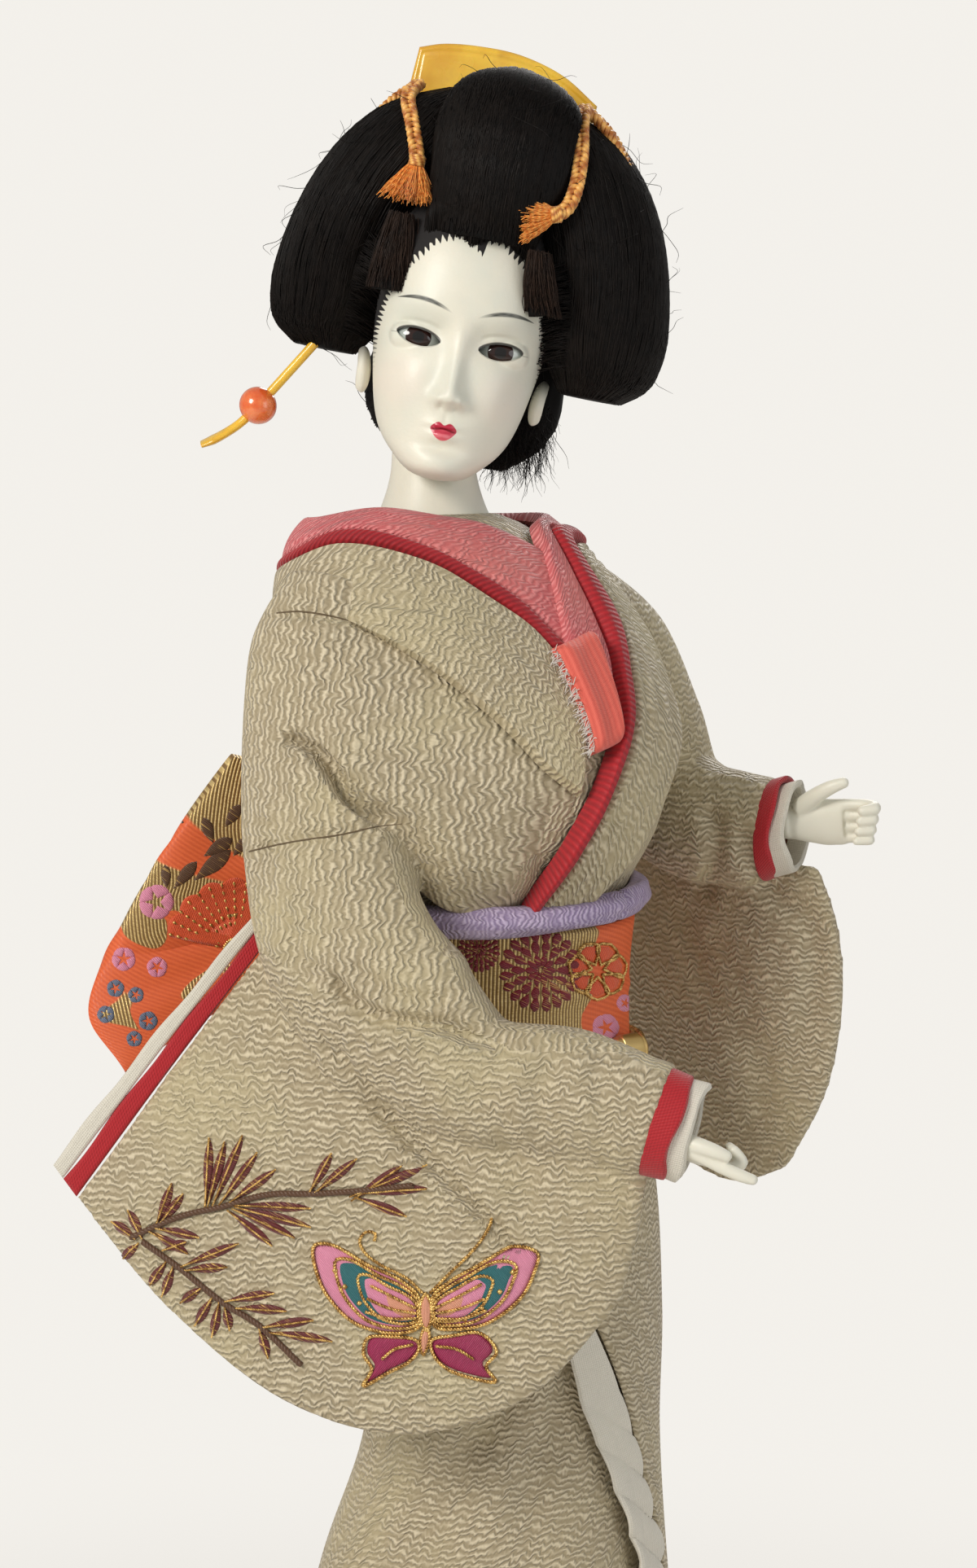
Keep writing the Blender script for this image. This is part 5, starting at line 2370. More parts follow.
for _ in range(520):
    start = np.array([draw.uniform(8, 18.5), draw.uniform(4, 15), draw.uniform(-16, -5)])
    curl, turn = draw.uniform(0.2, 0.7), draw.uniform(0, 6.28)
    run = np.linspace(0, 1, 12)[:, None]
    fall = np.array([draw.normal(0.8, 2.0), draw.normal(0, 1.7), -draw.uniform(2, 8.5)])
    wave = np.concatenate([np.cos(9 * run + turn), np.sin(8 * run + turn), 0 * run], 1) * curl * run
    nape_hairs.append(from_head(start + fall * run + wave))

for name, lines, finish, radius, taper in (
    ("hairline_strands", bridges, hair_dark, 0.1, 0.2),
    ("lock_right_strands", side_lock("right"), hair_brown, 0.085, 0.2),
    ("lock_left_strands", side_lock("left"), hair_brown, 0.085, 0.2),
    ("loose_hairs", loose + nape_hairs, hair_dark, 0.055, 0.6),
):
    made = tubes(name, lines, finish, radius, taper, 3, 84)
    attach(made, "head")
    print(name, len(lines), "strands")

# %% [markdown]
# Orange silk cords hold the rolls. Each is plaited from four strands, with a loop over the comb and a
# tail that ends in a tassel of cut threads.


# %% Cords and tassels of the hair
def cord_silk(name, high, low):
    look = Look(name, Sheen_Weight=0.3, Sheen_Roughness=0.4, Specular_IOR_Level=0.5)
    along = look.node("Attribute", {"attribute_name": "along"}, out=2) * 1000
    tone = look.node("Attribute", {"attribute_name": "tone"}, out=2)
    ply = (along * 5.2 + tone * 4).sin() * 0.5 + 0.5
    look.set("Base Color", look.mix(ply, low, high))
    look.set("Roughness", 0.5 - ply * 0.22)
    look.bump(ply, 0.07)
    return look.material


orange_cord = cord_silk("orange_cord", (0.93, 0.50, 0.13), (0.44, 0.13, 0.018))
tassel_silk = cord_silk("tassel_silk", (1.0, 0.44, 0.09), (0.86, 0.24, 0.025))
CORDS = {
    "right": (
        [(-17, 1, 49.5), (-17.2, -6, 46), (-14.5, -10.6, 40.5), (-12.5, -12.3, 35.5), (-12, -13, 33.8)],
        [(-17, 1, 49.5), (-20.6, 0, 46), (-24, 0, 41.5)],
        [(-12, -13, 33.8), (-12.3, -14.3, 28)],
    ),
    "left": (
        [
            (15, 1, 50.5), (15.6, -5, 47.5), (17.6, -11, 39.5), (17.8, -13.2, 33), (16.9, -14.4, 30),
            (15.4, -15.3, 28.8),
        ],
        [(15, 1, 50.5), (20.5, 0, 46.5), (25.5, 0.5, 40.5)],
        [(15.4, -15.3, 28.8), (10.4, -17, 27.4)],
    ),
}
for side, (tail_stops, loop_stops, tassel_stops) in CORDS.items():
    lines = [from_head(path_through(stops)(np.linspace(0, 1, 40))) for stops in (tail_stops, loop_stops)]
    cord = plait(f"hair_cord_{side}", lines, orange_cord, 0.98, 0.5, 4.4, strands=4, flat=0.62)
    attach(cord, "head")
    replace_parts(cord, f"braid_{side}")
    chances = np.random.default_rng(91 + len(side))
    top, low = (np.array(p, float) for p in tassel_stops)
    threads = []
    heading = unit(low - top)
    side_way = unit(np.cross(heading, np.array([0, 1.0, 0])))
    other_way = np.cross(heading, side_way)
    for _ in range(520):
        turn, far = chances.uniform(0, 2 * np.pi), chances.uniform(0, 1) ** 0.5
        spread = (side_way * math.cos(turn) + 0.45 * other_way * math.sin(turn)) * far
        run = np.linspace(0, chances.uniform(0.75, 1.2), 8)[:, None]
        curl = chances.normal(0, 0.34, 3) * np.sin(chances.uniform(2, 5) * run) * run
        frizz = chances.normal(0, 0.11, (8, 3)) * run
        flare = 0.9 + 4.0 * run**0.85
        threads.append(from_head(top + (low - top) * run * 1.1 + spread * flare + curl + frizz))
    tassel = tubes(f"tassel_{side}", threads, tassel_silk, 0.085, 0.2, 3, 92)
    wrap_end = 2 * np.pi * 4
    wrap_turns = np.linspace(0, wrap_end, 80)[:, None]
    coil = top - heading * 0.9 + heading * wrap_turns / wrap_end * 1.8
    coil = coil + (side_way * np.cos(wrap_turns) + other_way * np.sin(wrap_turns)) * 1.2
    wrap = tubes(f"tassel_wrap_{side}", [from_head(coil)], orange_cord, 0.34, 0.0, 6, 93)
    for made in (tassel, wrap):
        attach(made, "head")
print("hair cords", len(CORDS))

# %% [markdown]
# Comb and hairpin are clear yellow horn. Its colour deepens where it is thick, with darker clouds, and
# the surface is polished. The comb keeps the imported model's shape, and the pin gets a rounder one.


# %% Comb and hairpin
def horn(name):
    look = Look(name, Specular_IOR_Level=0.6, Coat_Weight=0.5, Coat_Roughness=0.08, Subsurface_Weight=0.15)
    look.shader.inputs["Subsurface Radius"].default_value = (0.004, 0.002, 0.0006)
    spot = look.node("TexCoord", out=3)
    cloud = look.noise(spot, 75.0, 3, 0.55)
    streak = look.noise(spot, 260.0, 2, 0.5)
    tone = look.mix(cloud.rise(0.35, 0.62), (0.74, 0.38, 0.02), (0.92, 0.57, 0.045))
    look.set("Base Color", look.mix(streak.rise(0.55, 0.8) * 0.3, tone, (0.42, 0.15, 0.012)))
    look.set("Roughness", 0.2 + streak * 0.14)
    look.bump(streak, 0.04)
    return look.material


horn_finish = horn("clear_horn")
COMB_Y = 8
COMB_TOP = [(-19.4, 57), (-14.9, 58.4), (-7.9, 59.1), (0.1, 58.8), (8.8, 56.4), (16.2, 52.0)]
COMB_LOW = [(-20.3, 44.6), (-8, 44.4), (4, 42.8), (15.4, 40.2)]
edges = (COMB_TOP, COMB_LOW, [COMB_TOP[0], COMB_LOW[0]], [COMB_TOP[-1], COMB_LOW[-1]])
comb_sheet = spanned(*([(x, COMB_Y, z) for x, z in line] for line in edges), 90, 44)
u, v = np.linspace(0, 1, 90)[None, :], np.linspace(0, 1, 44)[:, None]
inset = np.minimum(np.minimum(u, 1 - u) * 36, v * 14)
comb_half = 0.3 + 0.6 * ease(inset, 0, 0.7) - 0.16 * bell(inset - 1.5, 0.22)
comb_out = np.array([0, 1.0, 0])
comb_grids = (from_head(comb_sheet + side * comb_half[..., None] * comb_out) for side in (1, -1))
comb = shell("horn_comb", *comb_grids, horn_finish, sharp=0)
low_edge = path_through([(x, COMB_Y, z) for x, z in COMB_LOW])
tooth_lines = []
for share in np.linspace(0.035, 0.965, 23):
    foot = low_edge(share)
    tooth_lines.append(from_head(np.linspace(foot + (0, 0, 1.5), foot - (0, 0, 5.6), 8)))
teeth = tubes("comb_teeth", tooth_lines, horn_finish, 0.56, 0.55, 8, 95)
for made in (comb, teeth):
    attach(made, "comb")
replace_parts(comb, "comb")
PIN_ENTRY = np.array([-25, -3, 0.6])
PIN_OUT = unit(np.array([-0.516, -0.1, -0.85]))
# distance out, half-width, half-thickness, sag
PIN = [
    (-12, 0.9, 0.9, 0), (0, 0.9, 0.9, 0), (20, 0.9, 0.9, 0), (24, 1.0, 0.85, 0.2), (27.5, 1.7, 0.85, 0.8),
    (30, 2.3, 0.85, 1.4), (32.4, 2.05, 0.6, 2.15),
]
PIN_FACING = unit(np.array([-0.6, -0.3, 0.75]))
pin_stops = []
for out, wide, thick, sag in PIN:
    middle = PIN_ENTRY + PIN_OUT * out + np.array([-sag, 0, sag])
    pin_stops.append((*middle, wide, thick))
pin = closed_tube("hairpin_stalk", from_head(tube_grid(pin_stops, 90, 28, PIN_FACING)), horn_finish)
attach(pin, "hairpin")
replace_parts(pin, "pin_stalk")


def coral_glass(name):
    look = Look(name, Specular_IOR_Level=0.6, Coat_Weight=0.7, Coat_Roughness=0.06, Subsurface_Weight=0.1)
    spot = look.node("TexCoord", out=3)
    vein = look.noise(spot, 330.0, 3, 0.6)
    look.set("Base Color", look.mix(vein.rise(0.35, 0.65), (0.78, 0.12, 0.025), (0.88, 0.22, 0.06)))
    look.set("Roughness", 0.16 + vein * 0.1)
    look.bump(vein, 0.02)
    return look.material


across_pin = unit(np.cross(PIN_OUT, np.array([0, 1.0, 0])))
up_pin = np.cross(across_pin, PIN_OUT)
angles = np.linspace(0.12, np.pi - 0.12, 30)[:, None, None]
round_bead = np.linspace(0, 2 * np.pi, 48, endpoint=False)[None, :, None]
bead_side = across_pin * np.cos(round_bead) + up_pin * np.sin(round_bead)
bead_grid = PIN_ENTRY + PIN_OUT * (19 - 3.5 * np.cos(angles)) + 3.6 * np.sin(angles) * bead_side
bead = closed_tube("hairpin_bead", from_head(bead_grid), coral_glass("bead_glass"))
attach(bead, "hairpin")
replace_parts(bead, "pin_bead")
print("pin", len(pin.data.polygons), "faces")

# %% [markdown]
# The hands are carved wood under the same white paint as the face. Palm, wrist and fingers are separate
# closed bodies first, and a voxel remesh with a little smoothing turns them into one hand.


# %% Hands
def merged(name, parts, finish, voxel, rounds):
    """Several overlapping closed bodies, given as (points, faces), made into one even mesh."""
    points, faces, start = [], [], 0
    for part_points, part_faces in parts:
        points.append(np.asarray(part_points, float))
        faces += [[int(corner) + start for corner in face] for face in part_faces]
        start += len(part_points)
    made = piece(name, np.concatenate(points), faces, finish)
    return even_body(name, [made], finish, voxel, rounds)


def carved_hand(side):
    """A hand drawn along its wrist's axis, then turned and set on the wrist."""
    sign = -1 if side == "right" else 1
    axis = WRIST_AXES[side]
    palm_hint = np.array([0.2, 0.15, 1.0]) if side == "right" else np.array([-0.25, -1, -0.15])
    palm = unit(palm_hint - axis * (palm_hint @ axis))
    turn = np.stack([axis, np.cross(palm, axis), palm])
    size = (1.16, 1.1, 1.1) if side == "right" else (1.16, 1.16, 1.1)

    def placed(points):
        return WRISTS[side] + (np.asarray(points) * size) @ turn

    def capsule(stops, radii):
        """A round finger through stops, with a round end at both ends."""
        rows, columns = 34, 18
        stops = [(*p, r, r) for p, r in zip(np.asarray(stops, float), radii)]
        grid = tube_grid(stops, rows, columns, np.array([0.05, 0.12, 1.0]))
        ends = np.sqrt(1 - np.clip(1 - np.linspace(0, rows - 1, rows) / 2.2, 0, 1) ** 2)
        ends = np.minimum(ends, ends[::-1]).clip(0.25)[:, None, None]
        heart = grid.mean(1, keepdims=True)
        grid = heart + (grid - heart) * ends
        return closed_stack(placed(grid.reshape(-1, 3)), rows, columns)

    def digit_stops(y, reach):
        bent = [reach, 0.95 * y, 1.9], [reach - 2.6, 0.9 * y, 3.5]
        return [[7.5, y, 0], [reach - 1.6, 0.98 * y, 0.2], *bent]

    spread = [2.9, 0.95, -0.95, -2.8]
    if side == "left":
        digits = [digit_stops(y, 15 - 0.4 * i) for i, y in enumerate(spread)]
        thumb = [[1.5, 2.2, 0.6], [4.5, 4.6, 2], [8, 6.6, 2.6], [11, 7.6, 2.4]]
    else:
        digits = [[[7.5, 2.9, 0], [12, 3.2, 0], [14.5, 3.3, 0.2], [17, 3.2, 0.6]]]
        digits += [digit_stops(y, 14 - 0.5 * i) for i, y in enumerate(spread) if i]
        thumb = [[3.0, 1.6, 0.3], [6, 3.4, 1.2], [9.5, 4.1, 1.8], [12, 4.0, 2]]

    def sided(stops):
        return [[x, y * sign, z] for x, y, z in stops]

    parts = [capsule(sided([[-11, 0, 0], [-5, 0, 0], [0.6, 0, 0]]), [2.65, 2.7, 3.0])]
    palm_stops = [(0, 0, 0, 2.9, 2.5), (2.5, 0, 0, 3.4, 2.3), (6, 0, 0, 4.05, 2.0), (9.3, 0, 0.1, 3.9, 1.35)]
    grid = tube_grid(palm_stops, 20, 40, np.array([0.0, 0.0, 1.0]))
    parts.append(closed_stack(placed(grid.reshape(-1, 3)), 20, 40))
    for i, stops in enumerate(digits):
        stops[0][0] -= 2.0
        full = 1.1 * (1 - 0.07 * i)
        parts.append(capsule(sided(stops), [full * 1.05, full, full * 0.96, full * 0.74]))
    parts.append(capsule(sided(thumb), [1.75, 1.45, 1.2, 0.85]))
    made = merged(f"{side}_hand_carved", parts, face_paint, 0.3, 4)
    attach(made, f"{side}_hand")
    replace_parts(made, f"{side}_hand")
    print(made.name, len(made.data.polygons), "faces")


for side in ("right", "left"):
    carved_hand(side)

# %% [markdown]
# A large butterfly and two pine sprigs are embroidered on the right sleeve, in satin stitch edged with
# couched gold thread. The outlines are drawn in the picture and dropped onto the folded cloth.

# %% Butterfly
on_sleeve = lying_on(sleeves["right"])
WING_SHAPES = {
    "upper_left": [
        (386, 1530), (406, 1528), (452, 1553), (492, 1572), (514, 1592), (516, 1628), (488, 1637),
        (437, 1625), (406, 1596), (391, 1568),
    ],
    "upper_right": [
        (532, 1592), (552, 1574), (580, 1558), (636, 1530), (661, 1540), (657, 1560), (641, 1592),
        (600, 1624), (560, 1632), (534, 1628),
    ],
    "lower_left": [
        (512, 1646), (480, 1641), (452, 1643), (447, 1663), (457, 1681), (446, 1702), (478, 1685),
        (503, 1672), (515, 1656),
    ],
    "lower_right": [
        (530, 1646), (556, 1640), (590, 1637), (610, 1660), (597, 1678), (609, 1696), (580, 1692),
        (548, 1680), (532, 1662),
    ],
}
ROOT = np.array([523, 1618.0])


def toward_root(outline, share):
    """An outline drawn in towards the wing's root, and a little narrower."""
    outline = np.asarray(outline, float)
    centre = outline.mean(0)
    goal = centre + (ROOT - centre) * (1 - share) * 0.8
    return goal + (outline - centre) * share


butterfly = []
# each band's share of the wing, its height in mm, its thread and its name
bands = (
    (1.0, 0.30, pink_satin, "pink"), (0.78, 0.46, teal_satin, "teal"), (0.55, 0.62, pink_satin, "inner"),
    (0.32, 0.74, peach_satin, "heart"),
)
upper = {key: looped_curve(WING_SHAPES[key], 64) for key in ("upper_left", "upper_right")}
lower = {key: looped_curve(WING_SHAPES[key], 54) for key in ("lower_left", "lower_right")}
for share, height, finish, word in bands:
    outlines = [toward_root(outline, share) for outline in upper.values()]
    butterfly.append(cushions(f"butterfly_{word}", on_sleeve, outlines, height, finish, 0.9, shape=0.35))
drawn_in = [toward_root(outline, 0.94) for outline in lower.values()]
butterfly.append(cushions("butterfly_lower", on_sleeve, drawn_in, 0.42, magenta_satin, 2.2, shape=0.35))
body = [lens((523, 1588), (524, 1634), 15, 26, 0.5), lens((524, 1630), (520, 1664), 10, 22, 0.4)]
butterfly.append(cushions("butterfly_body", on_sleeve, body, 0.95, peach_satin, 1.57))
rims = [toward_root(outline, share) for outline in upper.values() for share in (1.0, 0.78, 0.55)]
rims += [toward_root(outline, 1.0) for outline in lower.values()]
rims += list(body)
gold_rims = [on_sleeve(line, 0.34) for line in rims]
butterfly.append(plait("butterfly_rims", gold_rims, gold, 0.17, 0.2, 1.2, looped=True, step=0.12, **TWISTED))
FEELERS = [
    [(519, 1588), (500, 1570), (467, 1553), (448, 1538), (442, 1524), (450, 1513), (461, 1515), (460, 1524)],
    [(528, 1588), (548, 1568), (574, 1543), (592, 1522), (601, 1506), (604, 1496)],
]
VEINS = [
    [(512, 1612), (480, 1606), (452, 1594)], [(512, 1618), (478, 1618), (450, 1610)],
    [(512, 1606), (484, 1592), (456, 1578)], [(534, 1612), (566, 1606), (596, 1594)],
    [(534, 1618), (570, 1618), (598, 1608)], [(534, 1606), (562, 1592), (592, 1576)],
    [(508, 1650), (485, 1656), (470, 1668)], [(536, 1652), (562, 1656), (582, 1668)],
]
lines = [on_sleeve(path_through(stops)(np.linspace(0, 1, 40)), 0.24) for stops in FEELERS]
lines += [on_sleeve(path_through(stops)(np.linspace(0, 1, 20)), 0.72) for stops in VEINS]
butterfly.append(plait("butterfly_lines", lines, gold, 0.15, 0.17, 1.2, **TWISTED))
SPOTS = [
    (412, 1560), (424, 1580), (442, 1600), (466, 1617), (630, 1562), (614, 1586), (592, 1606), (571, 1620),
]
round_spot = looped_curve([(4, 0), (0, 4), (-4, 0), (0, -4)], 12)
spots = [np.array(spot) + round_spot for spot in SPOTS]
butterfly.append(cushions("butterfly_spots", on_sleeve, spots, 0.75, gold, 0.0))
print("butterfly pieces", len(butterfly))

# %% [markdown]
# Each needle of the pine sprigs is a padded lens of dark red thread with one gold thread along it, and
# the stems are plaits. Two seams of the sleeve are drawn with dark thread in the same way.

# %% Pine sprigs
STEMS = [
    [(161, 1520), (222, 1494), (273, 1482), (330, 1467), (386, 1466), (450, 1462), (508, 1456)],
    [(176, 1525), (222, 1558), (273, 1599), (319, 1628), (370, 1676)],
]
# each needle from its foot on the stem to its tip
NEEDLES = [
    ((253, 1482), (258, 1397)), ((256, 1482), (277, 1402)), ((262, 1481), (299, 1394)),
    ((270, 1480), (317, 1415)), ((280, 1479), (340, 1436)), ((192, 1507), (212, 1453)),
    ((196, 1505), (226, 1466)), ((289, 1480), (383, 1484)), ((289, 1482), (383, 1507)),
    ((286, 1484), (363, 1520)), ((280, 1486), (335, 1530)), ((386, 1466), (439, 1423)),
    ((380, 1466), (408, 1416)), ((432, 1475), (495, 1431)), ((430, 1470), (523, 1433)),
    ((440, 1466), (526, 1459)), ((436, 1470), (500, 1494)), ((190, 1508), (246, 1520)),
    ((184, 1512), (232, 1540)), ((200, 1536), (230, 1525)), ((222, 1556), (294, 1527)),
    ((226, 1560), (280, 1556)), ((250, 1580), (222, 1600)), ((262, 1592), (240, 1628)),
    ((270, 1598), (261, 1642)), ((276, 1602), (283, 1634)), ((276, 1598), (338, 1588)),
    ((290, 1606), (353, 1610)), ((318, 1628), (330, 1668)), ((322, 1630), (386, 1621)),
    ((330, 1636), (409, 1647)), ((176, 1522), (158, 1486)), ((168, 1522), (138, 1500)),
    ((172, 1526), (148, 1548)), ((206, 1548), (182, 1580)), ((214, 1554), (200, 1592)),
]
needle_shapes = [lens(foot, tip, 12.5, 20, 0.6) for foot, tip in NEEDLES]
sprigs = [cushions("sprig_needles", on_sleeve, needle_shapes, 0.5, maroon_satin, 0.5)]
stem_lines = [on_sleeve(path_through(stops)(np.linspace(0, 1, 70)), 0.3) for stops in STEMS]
stems = plait("sprig_stems", stem_lines, brown_satin, 0.3, 0.34, 2.2, strands=3, flat=0.9, crossings=1.0)
sprigs.append(stems)
edges = [on_sleeve(np.array([foot, (np.array(foot) + tip) / 2, tip]), 0.6) for foot, tip in NEEDLES]
sprigs.append(plait("sprig_gold", edges, gold, 0.1, 0.11, 0.9, step=0.14, **TWISTED))
seam_silk = plain_cloth("seam_silk", (0.17, 0.12, 0.065), (0.09, 0.06, 0.03), 0.5, 0.5, sheen=0.1)
SEAMS = [
    [(306, 1046), (330, 1040), (365, 1033), (420, 1025), (460, 1016), (494, 1012)],
    [(340, 753), (365, 751), (392, 754), (420, 760), (446, 768)],
]
seam_lines = [on_sleeve(path_through(stops)(np.linspace(0, 1, 60)), -0.02) for stops in SEAMS]
sprigs.append(tubes("sleeve_seams", seam_lines, seam_silk, 0.17, 0.5, 6, 97))
for made in butterfly + sprigs:
    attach(made, DOLL)
print("sprig needles", len(NEEDLES))

# %% [markdown]
# The bow's brocade carries a fan, leaves and small round flowers. From the front only one wing shows
# them, so they are drawn in the picture. The rest of the bow gets flowers and leaves of the same kinds,
# dropped onto it from behind.

# %% Motifs of the bow
on_wing = lying_on(wings[-1])
FAN_CENTRE, FAN_REACH = (290, 1168), 84
FAN_START, FAN_END, SCALLOP = 58, 168, 22


def fan_edge(degrees):
    """The fan's reach at a turn: a rim of equal scallops."""
    return FAN_REACH + 6 * abs(math.sin(math.radians((degrees - FAN_START) * 180 / SCALLOP)))


fan_rim = [polar(FAN_CENTRE, fan_edge(a), a) for a in np.linspace(FAN_START, FAN_END, 56)]
ray_turns = np.linspace(60, 166, 11)
dashes = [
    lens(polar(FAN_CENTRE, at - 4.2, a), polar(FAN_CENTRE, at + 4.2, a), 5.0, 8, 0.75)
    for a in ray_turns for at in np.linspace(14, FAN_REACH - 2, 8)
]
leaves = [
    lens((205, 1092), (203, 1062), 13, 20, 0.6), lens((213, 1092), (242, 1058), 16, 20, 0.6),
    lens((238, 1082), (284, 1044), 20, 22, 0.6), lens((250, 1052), (286, 1030), 18, 20, 0.6),
    lens((262, 1036), (250, 1004), 15, 20, 0.6), lens((276, 1016), (296, 988), 15, 20, 0.6),
    lens((286, 1052), (306, 1028), 14, 20, 0.6),
]
# centre in pixels, radius, petals and first turn
BOW_FLOWERS = [((192, 1108), 22, 5), ((193, 1188), 13, 5, 20), ((152, 1178), 15, 5, 50)]
BOW_SMALL = [
    ((142, 1214), 11, 5, 10), ((167, 1222), 10, 5, 30), ((182, 1254), 12, 5), ((165, 1276), 10, 5, 20),
    ((130, 1246), 11, 5, 40),
]


def flowers_at(places):
    """The petals of several scalloped flowers, in one list."""
    return [outline for place in places for outline in scalloped(*place)]


bow_motifs = [
    cushions("bow_leaves", on_wing, leaves, 0.3, brown_satin, 0.6),
    cushions(
        "bow_fan", on_wing, [np.array([FAN_CENTRE] + fan_rim, float)], 0.22, orange_satin, 1.2, shape=0.3,
    ),
    cushions("bow_fan_rays", on_wing, dashes, 0.42, gold, 0.0),
    cushions("bow_flowers", on_wing, flowers_at(BOW_FLOWERS), 0.3, pink_satin, 0.8),
    cushions("bow_small", on_wing, flowers_at(BOW_SMALL), 0.26, slate_satin, 0.8),
]

# From behind, the same kinds of motif are laid on by rays from a point at the doll's back. The places
# are in the same small units as the pixels, across and up from the middle of the waist.
PIXEL = 0.147
REAR_POINT = WAIST_MIDDLE + UP * 25 - AHEAD * 600


def ray_from_rear(flat):
    flat = np.asarray(flat, float)
    middle = WAIST_MIDDLE - AHEAD * 50
    goal = middle + ACROSS * flat[:, :1] * PIXEL - UP * flat[:, 1:] * PIXEL
    return unit(goal - REAR_POINT)


def mirrored(shapes, side):
    return [shape * (side, 1) for shape in shapes]


for side, part in ((-1, wings[-1]), (1, wings[1]), (1, tail)):
    word = "tail" if part is tail else "right" if side < 0 else "left"
    on_rear = lying_on(part, ray_from_rear, REAR_POINT)
    if part is tail:
        flowers = chrysanthemum((10, 92), 46) + chrysanthemum((-50, 20), 30)
        small = flowers_at([((62, -20), 26, 5), ((-60, 130), 22, 5, 20), ((66, 150), 20, 5, 40)])
        leaf_shapes = [
            lens((0, -40), (40, -98), 22, 22, 0.5), lens((-6, -42), (-14, -112), 22, 22, 0.5),
            lens((-12, -38), (-66, -84), 20, 22, 0.5),
        ]
    else:
        flowers = chrysanthemum((222, -190), 56) + chrysanthemum((118, -190), 30)
        small = flowers_at([
            ((280, -70), 30, 5), ((320, -140), 20, 5, 30), ((160, -300), 24, 5, 10), ((120, -260), 16, 5),
        ])
        leaf_shapes = [
            lens((210, -300), (262, -330), 22, 22, 0.5), lens((204, -306), (232, -366), 22, 22, 0.5),
            lens((130, -120), (196, -106), 22, 22, 0.5), lens((128, -110), (170, -64), 20, 22, 0.5),
            lens((134, -130), (176, -142), 18, 22, 0.5),
        ]
    bow_motifs += [
        cushions(f"bow_{word}_rear_flowers", on_rear, mirrored(flowers, side), 0.32, wine_satin, 0.4),
        cushions(f"bow_{word}_rear_small", on_rear, mirrored(small, side), 0.28, pink_satin, 0.8),
        cushions(f"bow_{word}_rear_leaves", on_rear, mirrored(leaf_shapes, side), 0.3, brown_satin, 0.6),
    ]
for made in bow_motifs:
    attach(made, DOLL)
print("bow motifs", len(bow_motifs))

# %% [markdown]
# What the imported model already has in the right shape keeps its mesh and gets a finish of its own:
# lacquer on the board, brushed steel on the post and its fasteners, turned wood and straw inside.


# %% Stand, wires and fillings
def kept(nodes, finish):
    """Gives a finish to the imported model's own pieces."""
    for node in nodes:
        for slot in bpy.data.objects[node].material_slots:
            slot.material = finish


def lacquer_look():
    look = Look("black_lacquer", Specular_IOR_Level=0.55, Coat_Weight=0.8, Coat_Roughness=0.05)
    spot = look.node("TexCoord", out=3)
    cloud = look.noise(spot, 30.0, 3, 0.5)
    dust = look.noise(spot, 900.0, 2, 0.5)
    look.set("Base Color", look.mix(cloud, (0.010, 0.008, 0.008), (0.022, 0.014, 0.012)))
    look.set("Roughness", 0.12 + dust * 0.12)
    look.bump(cloud + dust * 0.1, 0.03)
    return look.material


def metal_look(name, dark, light, rough=0.3):
    look = Look(name, Metallic=1.0)
    spot = look.node("TexCoord", out=3)
    brushed = look.noise(look.node("Mapping", None, {0: spot, 3: (60, 60, 900)}), 1.0, 3, 0.6)
    cloud = look.noise(spot, 60.0, 2, 0.5)
    look.set("Base Color", look.mix(brushed * 0.6 + cloud * 0.4, dark, light))
    look.set("Roughness", rough + brushed * 0.2)
    look.bump(brushed, 0.02)
    return look.material


def straw_look():
    look = Look("pressed_straw", Specular_IOR_Level=0.3)
    spot = look.node("TexCoord", out=3)
    stalk = look.noise(look.node("Mapping", None, {0: spot, 3: (1500, 1500, 130)}), 1.0, 3, 0.6)
    look.set("Base Color", look.mix(stalk.rise(0.3, 0.7), (0.30, 0.19, 0.07), (0.66, 0.50, 0.24)))
    look.set("Roughness", 0.85 - stalk * 0.2)
    look.bump(stalk, 0.4)
    return look.material


def turned_wood_look():
    look = Look("turned_wood", Specular_IOR_Level=0.4)
    spot = look.node("TexCoord", out=3)
    grain = look.noise(look.node("Mapping", None, {0: spot, 3: (420, 420, 40)}), 1.0, 3, 0.6)
    look.set("Base Color", look.mix(grain.rise(0.3, 0.7), (0.36, 0.20, 0.09), (0.62, 0.42, 0.22)))
    look.set("Roughness", 0.6 - grain * 0.15)
    look.bump(grain, 0.08)
    return look.material


steel = metal_look("brushed_steel", (0.42, 0.42, 0.43), (0.62, 0.62, 0.61))
brass = metal_look("clasp_brass", (0.55, 0.36, 0.12), (0.86, 0.64, 0.28), 0.24)
straw, wood = straw_look(), turned_wood_look()
kept(["stand_board"], lacquer_look())
low, high = (np.array(corner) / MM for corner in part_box("cord_clasp"))
clasp_heart = (low + high) / 2
share = np.linspace(-1, 1, 60)
barrel = 0.25 + 0.75 * np.sqrt(1 - np.abs(share) ** 5) - 0.12 * bell(np.abs(share) - 0.62, 0.05)
clasp_stops = [(*(clasp_heart + ACROSS * 4 * s), 3.3 * b, 2.5 * b) for s, b in zip(share, barrel)]
clasp = closed_tube("cord_clasp_barrel", tube_grid(clasp_stops, 120, 56, AHEAD), brass)
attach(clasp, DOLL)
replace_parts(clasp, "cord_clasp")
kept(["chest_form", "leg_form"], straw)
kept(["neck_bush", "neck_peg"], wood)
wires = [o.name for o in bpy.data.objects if o.name.endswith("_arm_wire")]
fasteners = [o.name for o in bpy.data.objects if o.name.startswith(("post_", "stand_post"))]
kept(wires + fasteners, steel)
print("steel", sorted(wires + fasteners))

# %% [markdown]
# A sheet of green felt under the board keeps it from scratching the shelf. It is a flat closed body with
# rounded corners, and its fibres are noise in the colour, the shine and a strong bump.

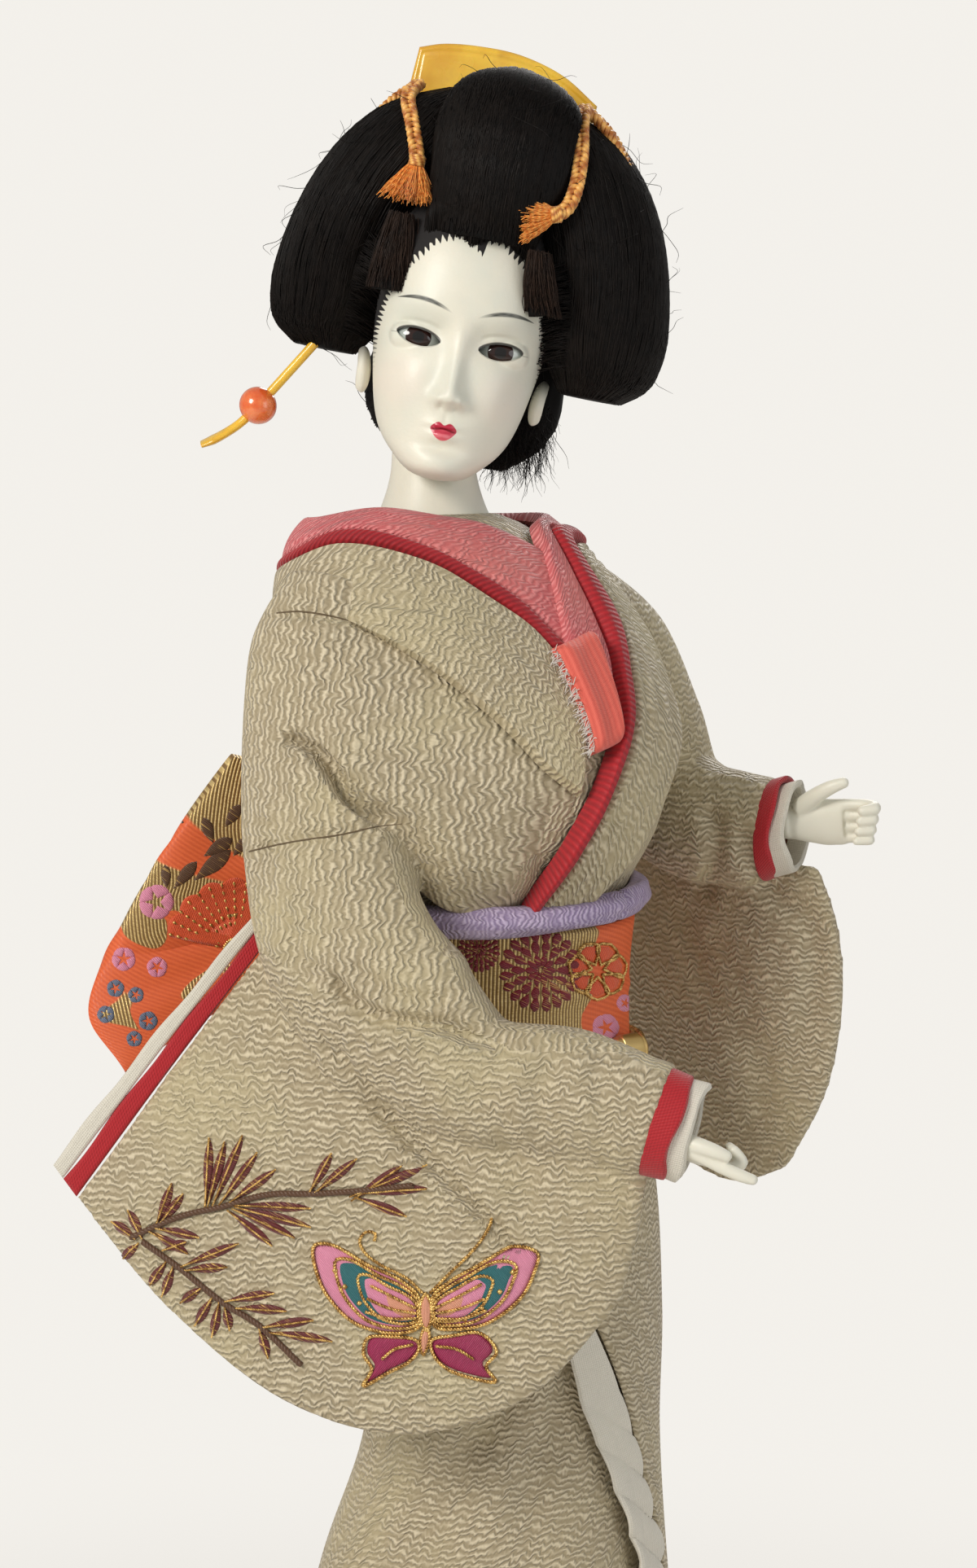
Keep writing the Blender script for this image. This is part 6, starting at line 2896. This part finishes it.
# %% The felt
felt_look = Look("green_felt", Sheen_Weight=0.4, Sheen_Roughness=0.6, Specular_IOR_Level=0.2)
u, v = felt_look.uv()
fibre = felt_look.noise(felt_look.place(u * 1.4, v * 1.4), 1.0, 4, 0.7)
felt_look.set("Base Color", felt_look.mix(fibre, (0.020, 0.035, 0.026), (0.055, 0.085, 0.062)))
felt_look.set("Roughness", 0.95 - fibre * 0.1)
felt_look.bump(fibre, 0.3)
low, high = (np.array(corner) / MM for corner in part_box("felt_sheet"))
CORNER = 12
corner_turns = np.linspace(0, np.pi / 2, 9)
outline = []
for k, corner in enumerate(((high[0], high[1]), (low[0], high[1]), (low[0], low[1]), (high[0], low[1]))):
    middle = corner - np.copysign(CORNER, corner - (low + high)[:2] / 2)
    outline += [
        middle + CORNER * np.array([math.cos(t), math.sin(t)])
        for t in corner_turns + k * math.pi / 2
    ]
outline = np.array(outline)
heart = outline.mean(0)
under, over = low[2], high[2]
rows = [(0.35, under), (0.97, under), (1.0, under + 0.3), (1.0, over - 0.3), (0.97, over), (0.35, over)]
rings = [
    np.column_stack([heart + (outline - heart) * share, np.full(len(outline), height)])
    for share, height in rows
]
points, faces = closed_stack(np.concatenate(rings), len(rows), len(outline))
felt = faced_out(piece("felt_pad_cloth", points, faces, felt_look.material))
flat_uv(felt, "cloth", lambda p: p[:, :2])
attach(felt, DOLL)
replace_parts(felt, "felt_sheet")
tuple((high - low)[:2] * MM)
print("felt", (high - low).round(1), "mm")
showing = [o.name for o in bpy.data.objects if o.type == "MESH" and not o.hide_render]
print(len(showing), "meshes")

# %% [markdown]
# The doll stands on a pale floor. Near the doll the floor takes its shadow, and further out it fades to
# the same tone as the background, so that no horizon shows from any side.

# %% The stage
stage_look = Look("stage_floor", Base_Color=(0.82, 0.80, 0.765, 1), Roughness=0.9)
spot = stage_look.node("SeparateXYZ", None, {0: stage_look.node("TexCoord", out=3)})
east, north = spot, stage_look.other(spot, 1)
far = ((east * east + north * north) ** 0.5).rise(0.16, 0.55)
plain = stage_look.tree.nodes.new("ShaderNodeEmission")
plain.inputs["Color"].default_value = PALE
fade = stage_look.tree.nodes.new("ShaderNodeMixShader")
output = stage_look.tree.nodes["Material Output"]
camera_only = stage_look.node("LightPath") * far
stage_look.tree.links.new(camera_only.socket, fade.inputs[0])
stage_look.tree.links.new(stage_look.shader.outputs[0], fade.inputs[1])
stage_look.tree.links.new(plain.outputs[0], fade.inputs[2])
stage_look.tree.links.new(fade.outputs[0], output.inputs["Surface"])
REACH = 3000
corners = [(-REACH, -REACH, -0.4), (REACH, -REACH, -0.4), (REACH, REACH, -0.4), (-REACH, REACH, -0.4)]
floor = piece("studio_floor", corners, [(0, 1, 2, 3)], stage_look.material)
